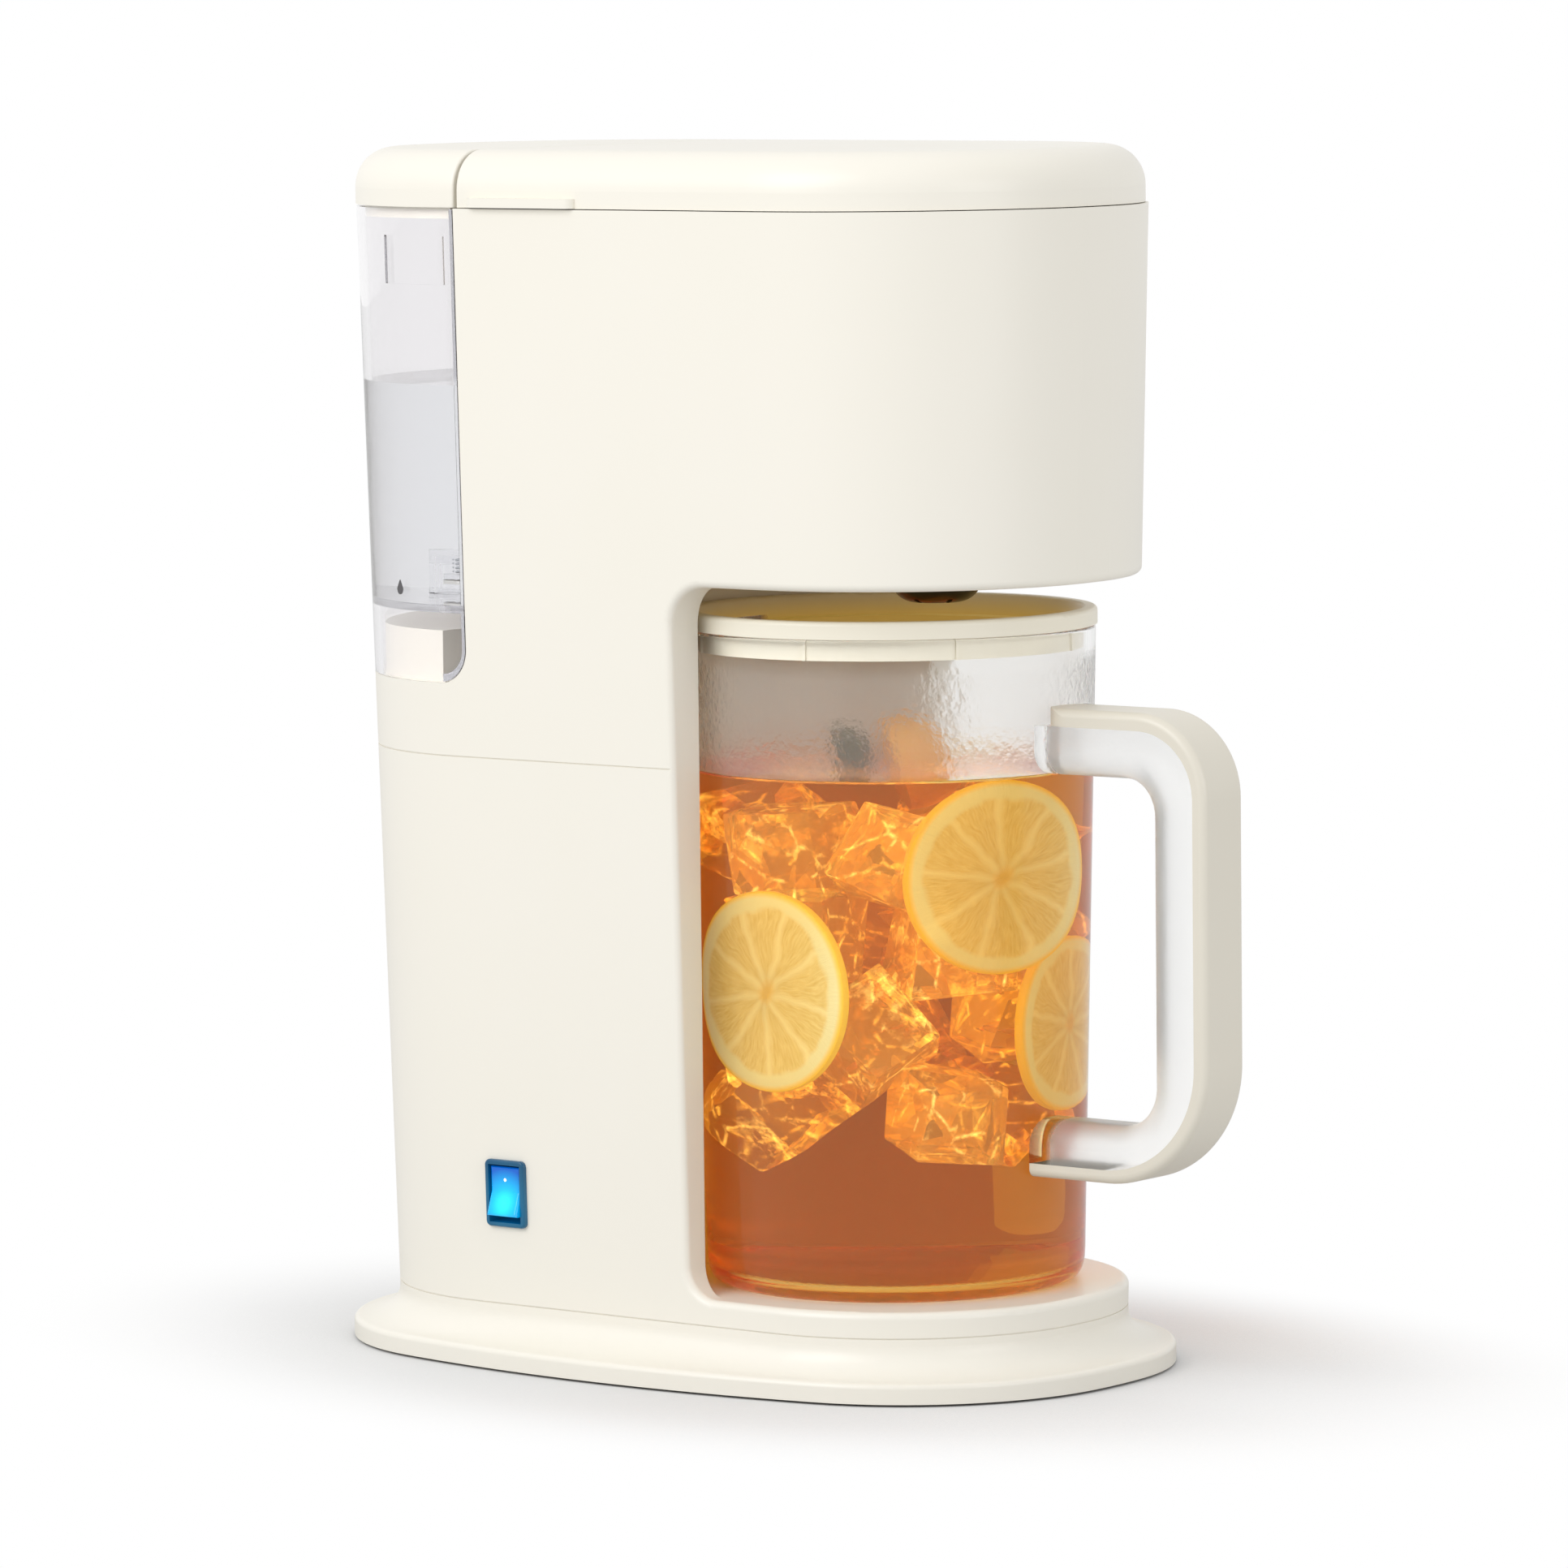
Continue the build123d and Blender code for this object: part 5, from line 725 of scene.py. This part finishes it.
def fruit(name, light, deep, grain_mm, roughness):
    """Wet fruit or leaf: two shades in a soft grain, and a little light coming through."""
    material, tree, output = start(name)
    place = add(tree, "ShaderNodeTexCoord").outputs["Object"]
    grain = add(tree, "ShaderNodeTexNoise", {"Vector": place, "Scale": per_mm(grain_mm), "Detail": 3.0})
    tint = add(tree, "ShaderNodeMixRGB", {"Fac": grain.outputs["Fac"], "Color1": srgb(light),
                                          "Color2": srgb(deep)})
    relief = add(tree, "ShaderNodeBump", {"Height": grain.outputs["Fac"], "Strength": 1.0,
                                          "Distance": 0.3 * MM})
    shader = add(tree, "ShaderNodeBsdfPrincipled", {
        "Base Color": tint.outputs["Color"], "Roughness": roughness, "IOR": 1.38,
        "Subsurface Weight": 0.3, "Subsurface Radius": (0.6, 0.3, 0.1), "Subsurface Scale": 3 * MM,
        "Normal": relief.outputs["Normal"]})
    tree.links.new(shader.outputs["BSDF"], output.inputs["Surface"])
    return material


wedge = bmesh.new()
bmesh.ops.create_uvsphere(wedge, u_segments=48, v_segments=24, radius=14 * MM)
bmesh.ops.scale(wedge, vec=(1.0, 0.55, 1.0), verts=wedge.verts)
cut = bmesh.ops.bisect_plane(wedge, geom=wedge.verts[:] + wedge.edges[:] + wedge.faces[:],
                             plane_co=Vector((-4, 0, 0)) * MM, plane_no=(-1, 0, 0), clear_outer=True)
bmesh.ops.edgeloop_fill(wedge, edges=[e for e in cut["geom_cut"] if isinstance(e, bmesh.types.BMEdge)])
wedge.transform(Matrix.Translation(PITCHER_AXIS + WEDGE_PLACE * MM)
                @ Matrix.Rotation(math.radians(-40), 4, "Z") @ Matrix.Rotation(math.radians(-18), 4, "Y"))
bmesh.ops.recalc_face_normals(wedge, faces=wedge.faces)
piece("orange_wedge", wedge, fruit("cut_orange", "F0B440", "D89C2C", 1.5, 0.35), "pitcher")

sprig = bmesh.new()
LEAF_LENGTH, LEAF_WIDTH = 19.0, 12.0
for n in range(3):
    leaf = bmesh.ops.create_circle(sprig, cap_ends=True, radius=0.5, segments=24)["verts"]
    for vert in leaf:
        point = 1 - 1.6 * max(0.0, vert.co.x)
        vert.co = Vector((vert.co.x * LEAF_LENGTH, vert.co.y * LEAF_WIDTH * point, 0)) * MM
    outwards = (Matrix.Translation(PITCHER_AXIS + SPRIG_PLACE * MM)
                @ Matrix.Rotation(math.radians(35 + 70 * n), 4, "Z")
                @ Matrix.Rotation(math.radians(-50 - 8 * n), 4, "Y")
                @ Matrix.Translation(Vector((5, 0, 0)) * MM))
    bmesh.ops.transform(sprig, matrix=outwards, verts=leaf)
bmesh.ops.solidify(sprig, geom=sprig.faces[:], thickness=0.5 * MM)
bmesh.ops.recalc_face_normals(sprig, faces=sprig.faces)
piece("mint_sprig", sprig, fruit("mint_leaf", "6A6426", "4C4A18", 2.0, 0.45), "pitcher")

# %% [markdown]
# ## The water in the tank
# The tank is a half round with a flat front. The water starts as a circle, its two halves are moved
# apart to the tank's own outline, a bisect cuts the flat front, and an extrude lifts it to the
# waterline. The tank widens upwards by a degree and a half, so the top is scaled a little.

# %% Water
WATER_LOW_Z, WATER_TOP_Z = 239.8, 309.2
WATER_SINK = 0.2        # the water's skin goes this far into the wall, like the tea's
TANK_CENTRE = Vector((0, 79.29, 0)) * MM
TANK_FRONT_Y = 78.15
TANK_WALL = 2.4
HALF_FLAT = 2.9         # half the short flat between the tank's two round corners
SEAM_Z, SEAM_HALF_WIDTH = 18.8, 70.2     # the housing's size where it leaves the foot
FLARE = math.tan(math.radians(1.433))


def tank_half_width(height):
    """Half the width of the water at a height: the tank follows the housing's flare."""
    return SEAM_HALF_WIDTH + (height - SEAM_Z) * FLARE - TANK_WALL + WATER_SINK


water = bmesh.new()
low_radius = tank_half_width(WATER_LOW_Z) - HALF_FLAT
bmesh.ops.create_circle(water, cap_ends=True, radius=low_radius * MM, segments=128,
                        matrix=Matrix.Translation(TANK_CENTRE + Vector((0, 0, WATER_LOW_Z)) * MM))
for vert in water.verts:
    vert.co.x += math.copysign(HALF_FLAT * MM, vert.co.x)
bmesh.ops.bisect_plane(water, geom=water.verts[:] + water.edges[:] + water.faces[:], clear_inner=True,
                       plane_co=Vector((0, TANK_FRONT_Y, 0)) * MM, plane_no=(0, 1, 0))
lifted = bmesh.ops.extrude_face_region(water, geom=water.faces[:])
top = [v for v in lifted["geom"] if isinstance(v, bmesh.types.BMVert)]
bmesh.ops.translate(water, verts=top, vec=Vector((0, 0, WATER_TOP_Z - WATER_LOW_Z)) * MM)
grow = 1 + (WATER_TOP_Z - WATER_LOW_Z) * FLARE / tank_half_width(WATER_LOW_Z)
for vert in top:
    vert.co.x *= grow
    if vert.co.y > (TANK_FRONT_Y + 0.1) * MM:
        vert.co.y = TANK_CENTRE.y + (vert.co.y - TANK_CENTRE.y) * grow
bmesh.ops.recalc_face_normals(water, faces=water.faces)
clear_water = liquid("drinking_water", "FFFFFF", 1.0, WATER_SHINE, (0.90, 0.94, 0.96), 5.0, 25, 0.02)
piece("tank_water", water, clear_water, "tank")

# %% [markdown]
# ## The lowest-level mark
# A small dark drop near the tank's floor marks the lowest level. It is printed on the plastic, so it
# is very thin: a circle whose upper half is drawn up to a point, extruded by a fifth of a millimetre
# and stood on the tank's outside.

# %% Drop mark
DROP_Y, DROP_Z = 105.5, 244.2
DROP_R = 1.8
PRINT_DEPTH = 0.2
drop = bmesh.new()
bmesh.ops.create_circle(drop, cap_ends=True, radius=DROP_R * MM, segments=32)
for vert in drop.verts:
    if vert.co.y > 0:
        share = vert.co.y / (DROP_R * MM)
        vert.co.x *= 1 - 0.75 * share
        vert.co.y *= 1.6
front = bmesh.ops.extrude_face_region(drop, geom=drop.faces[:])
raised = [v for v in front["geom"] if isinstance(v, bmesh.types.BMVert)]
bmesh.ops.translate(drop, verts=raised, vec=(0, 0, PRINT_DEPTH * MM))
outer = tank_half_width(DROP_Z) - WATER_SINK + TANK_WALL - HALF_FLAT
side = -HALF_FLAT - math.sqrt(outer ** 2 - (DROP_Y - TANK_CENTRE.y / MM) ** 2)
round_by = math.atan2(DROP_Y - TANK_CENTRE.y / MM, side + HALF_FLAT)
drop.transform(Matrix.Translation(Vector((side - 0.05, DROP_Y, DROP_Z)) * MM)
               @ Matrix.Rotation(round_by - math.radians(90) + math.radians(180), 4, "Z")
               @ Matrix.Rotation(math.radians(90), 4, "X"))
bmesh.ops.recalc_face_normals(drop, faces=drop.faces)
piece("level_mark", drop, moulded("printed_grey_ink", "5A585A", "514F51", 0.5, 0.4, 0.01, 1.5), "tank",
      smooth=False)

# %% [markdown]
# ## Floor, light and background
# The floor is white, and so is everything behind it. Strong lamps could bleach a grey floor to
# white, but they would bleach the object too. Here the camera, and anything that bends light, sees a
# white world, while the world's own light on the object stays gentle. One large soft lamp on the side
# of the switch does most of the work, so the other flank falls off a little.
#
# The floor near the object is grey matt paper, so that it can hold a shadow. A little glow that only
# the camera sees lifts it to white where nothing stands near. Ambient occlusion holds the glow back
# round the foot, and further out the paper fades into the white of the world.

# %% World
# The default view transform is made for film-like contrast and turns white paper grey. Standard
# shows colours as they are written.
scene = bpy.context.scene
scene.view_settings.view_transform = "Standard"
# A ray crosses the pitcher's wall, the tea and several ice cubes, each of them twice. With the
# usual twelve bounces it would give up inside, and leave the ice black. Inside the tank's front wall,
# seen edge on, it is mirrored about thirty times before it gets out at the far end.
scene.cycles.max_bounces = 64
scene.cycles.transmission_bounces = 64
scene.cycles.glossy_bounces = 64
scene.cycles.transparent_max_bounces = 32
WORLD_LIGHT = 0.69
CAMERA_SIDE = Vector((-0.80, -0.60, 0.0))
world = bpy.data.worlds.new("studio")
scene.world = world
world.use_nodes = True
tree = world.node_tree
tree.nodes.clear()
sky = tree.nodes.new("ShaderNodeOutputWorld")
path = add(tree, "ShaderNodeLightPath")
# Mirror reflections see a dim room on the camera's side and white paper on the far side.
toward = add(tree, "ShaderNodeVectorMath", {0: add(tree, "ShaderNodeTexCoord").outputs["Generated"],
                                            1: CAMERA_SIDE}, operation="DOT_PRODUCT")
room = add(tree, "ShaderNodeMapRange", {"Value": toward.outputs["Value"], "From Min": -0.3,
                                        "From Max": 0.5, "To Min": 1.0, "To Max": 0.3})
unseen = add(tree, "ShaderNodeMapRange", {"Value": path.outputs["Is Glossy Ray"], "To Min": WORLD_LIGHT,
                                          "To Max": room.outputs["Result"]})
seen = add(tree, "ShaderNodeMath", {0: path.outputs["Is Camera Ray"],
                                    1: path.outputs["Is Transmission Ray"]}, operation="MAXIMUM")
level = add(tree, "ShaderNodeMapRange", {"Value": seen.outputs["Value"], "To Min": unseen.outputs["Result"],
                                         "To Max": 1.0})
glowing = add(tree, "ShaderNodeBackground", {"Color": srgb("FFFFFF"), "Strength": level.outputs["Result"]})
tree.links.new(glowing.outputs["Background"], sky.inputs["Surface"])

# %% Floor
FLOOR_SIZE = 12.0
floor_bm = bmesh.new()
bmesh.ops.create_grid(floor_bm, x_segments=1, y_segments=1, size=FLOOR_SIZE / 2)
floor_mesh = bpy.data.meshes.new("floor")
floor_bm.to_mesh(floor_mesh)
floor_bm.free()
floor = bpy.data.objects.new("floor", floor_mesh)
bpy.context.scene.collection.objects.link(floor)
floor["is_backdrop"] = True
paper, tree, output = start("white_paper_sweep")
place = add(tree, "ShaderNodeTexCoord").outputs["Object"]
fibre = add(tree, "ShaderNodeTexNoise", {"Vector": place, "Scale": per_mm(2), "Detail": 3.0})
rough = add(tree, "ShaderNodeMapRange", {"Value": fibre.outputs["Fac"], "To Min": 0.85, "To Max": 0.95})
FOOT_HALF_WIDTH, FOOT_HALF_LENGTH = 88.0, 141.0
FADE_START, FADE_END = 1.30, 2.20       # in feet: how many times the foot's own size from its middle
LIFT = 0.45
# Near the foot little of the room's light gets in, which leaves the soft shadow round it.
open_sky = add(tree, "ShaderNodeAmbientOcclusion", {"Distance": 0.20}, samples=8)
matt = add(tree, "ShaderNodeBsdfPrincipled", {
    "Base Color": srgb("CBCBCB"), "Roughness": rough.outputs["Result"], "Specular IOR Level": 0.0})
path = add(tree, "ShaderNodeLightPath")
seen = add(tree, "ShaderNodeMath", {0: path.outputs["Is Camera Ray"],
                                    1: path.outputs["Is Transmission Ray"]}, operation="MAXIMUM")
shade = add(tree, "ShaderNodeMath", {0: open_sky.outputs["AO"], 1: 2.0}, operation="POWER")
lift = add(tree, "ShaderNodeMath", {0: seen.outputs["Value"], 1: shade.outputs["Value"]},
           operation="MULTIPLY")
lifted = add(tree, "ShaderNodeMath", {0: lift.outputs["Value"], 1: LIFT}, operation="MULTIPLY")
shine = add(tree, "ShaderNodeEmission", {"Color": srgb("FFFFFF"), "Strength": lifted.outputs["Value"]})
near = add(tree, "ShaderNodeAddShader")
tree.links.new(matt.outputs["BSDF"], near.inputs[0])
tree.links.new(shine.outputs["Emission"], near.inputs[1])
# A little way past the foot the paper is as white as the world behind it, so no horizon shows.
white = add(tree, "ShaderNodeMapRange", {"Value": seen.outputs["Value"], "To Min": WORLD_LIGHT,
                                         "To Max": 1.0})
far = add(tree, "ShaderNodeEmission", {"Color": srgb("FFFFFF"), "Strength": white.outputs["Result"]})
per_foot = (1 / (FOOT_HALF_WIDTH * MM), 1 / (FOOT_HALF_LENGTH * MM), 0)
in_feet = add(tree, "ShaderNodeVectorMath", {0: place, 1: per_foot}, operation="MULTIPLY")
from_middle = add(tree, "ShaderNodeVectorMath", {0: in_feet.outputs["Vector"]}, operation="LENGTH")
fade = add(tree, "ShaderNodeMapRange", {"Value": from_middle.outputs["Value"], "From Min": FADE_START,
                                        "From Max": FADE_END}, interpolation_type="SMOOTHSTEP")
both = add(tree, "ShaderNodeMixShader", {"Fac": fade.outputs["Result"]})
tree.links.new(near.outputs["Shader"], both.inputs[1])
tree.links.new(far.outputs["Emission"], both.inputs[2])
tree.links.new(both.outputs["Shader"], output.inputs["Surface"])
floor_mesh.materials.append(paper)


# %% Lamps
def softbox(name, azimuth, elevation, distance, size, power, tint="FFFFFF"):
    """A square area lamp at an angle round the object, aimed at its middle."""
    lamp = bpy.data.lights.new(name, "AREA")
    lamp.shape, lamp.size, lamp.energy, lamp.color = "SQUARE", size, power, srgb(tint)[:3]
    holder = bpy.data.objects.new(name, lamp)
    bpy.context.scene.collection.objects.link(holder)
    a, e = math.radians(azimuth), math.radians(elevation)
    away = Vector((math.sin(a) * math.cos(e), -math.cos(a) * math.cos(e), math.sin(e)))
    holder.location = Vector((0, 0, 0.19)) + away * distance
    holder.rotation_mode = "QUATERNION"
    holder.rotation_quaternion = (-away).to_track_quat("-Z", "Y")
    print(name, "at", [round(v, 2) for v in holder.location])


softbox("key_softbox", -104, 34, 2.2, 1.4, 22)
softbox("fill_softbox", -10, 14, 2.4, 1.2, 8.5)

# %% [markdown]
# ## The finished size
# The finished model's box is printed. Everything added here has to stay inside the CAD model's box.

# %% Sizes
size = [list(corner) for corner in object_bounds()]
print("visual box (m):", [[round(v, 4) for v in corner] for corner in size])
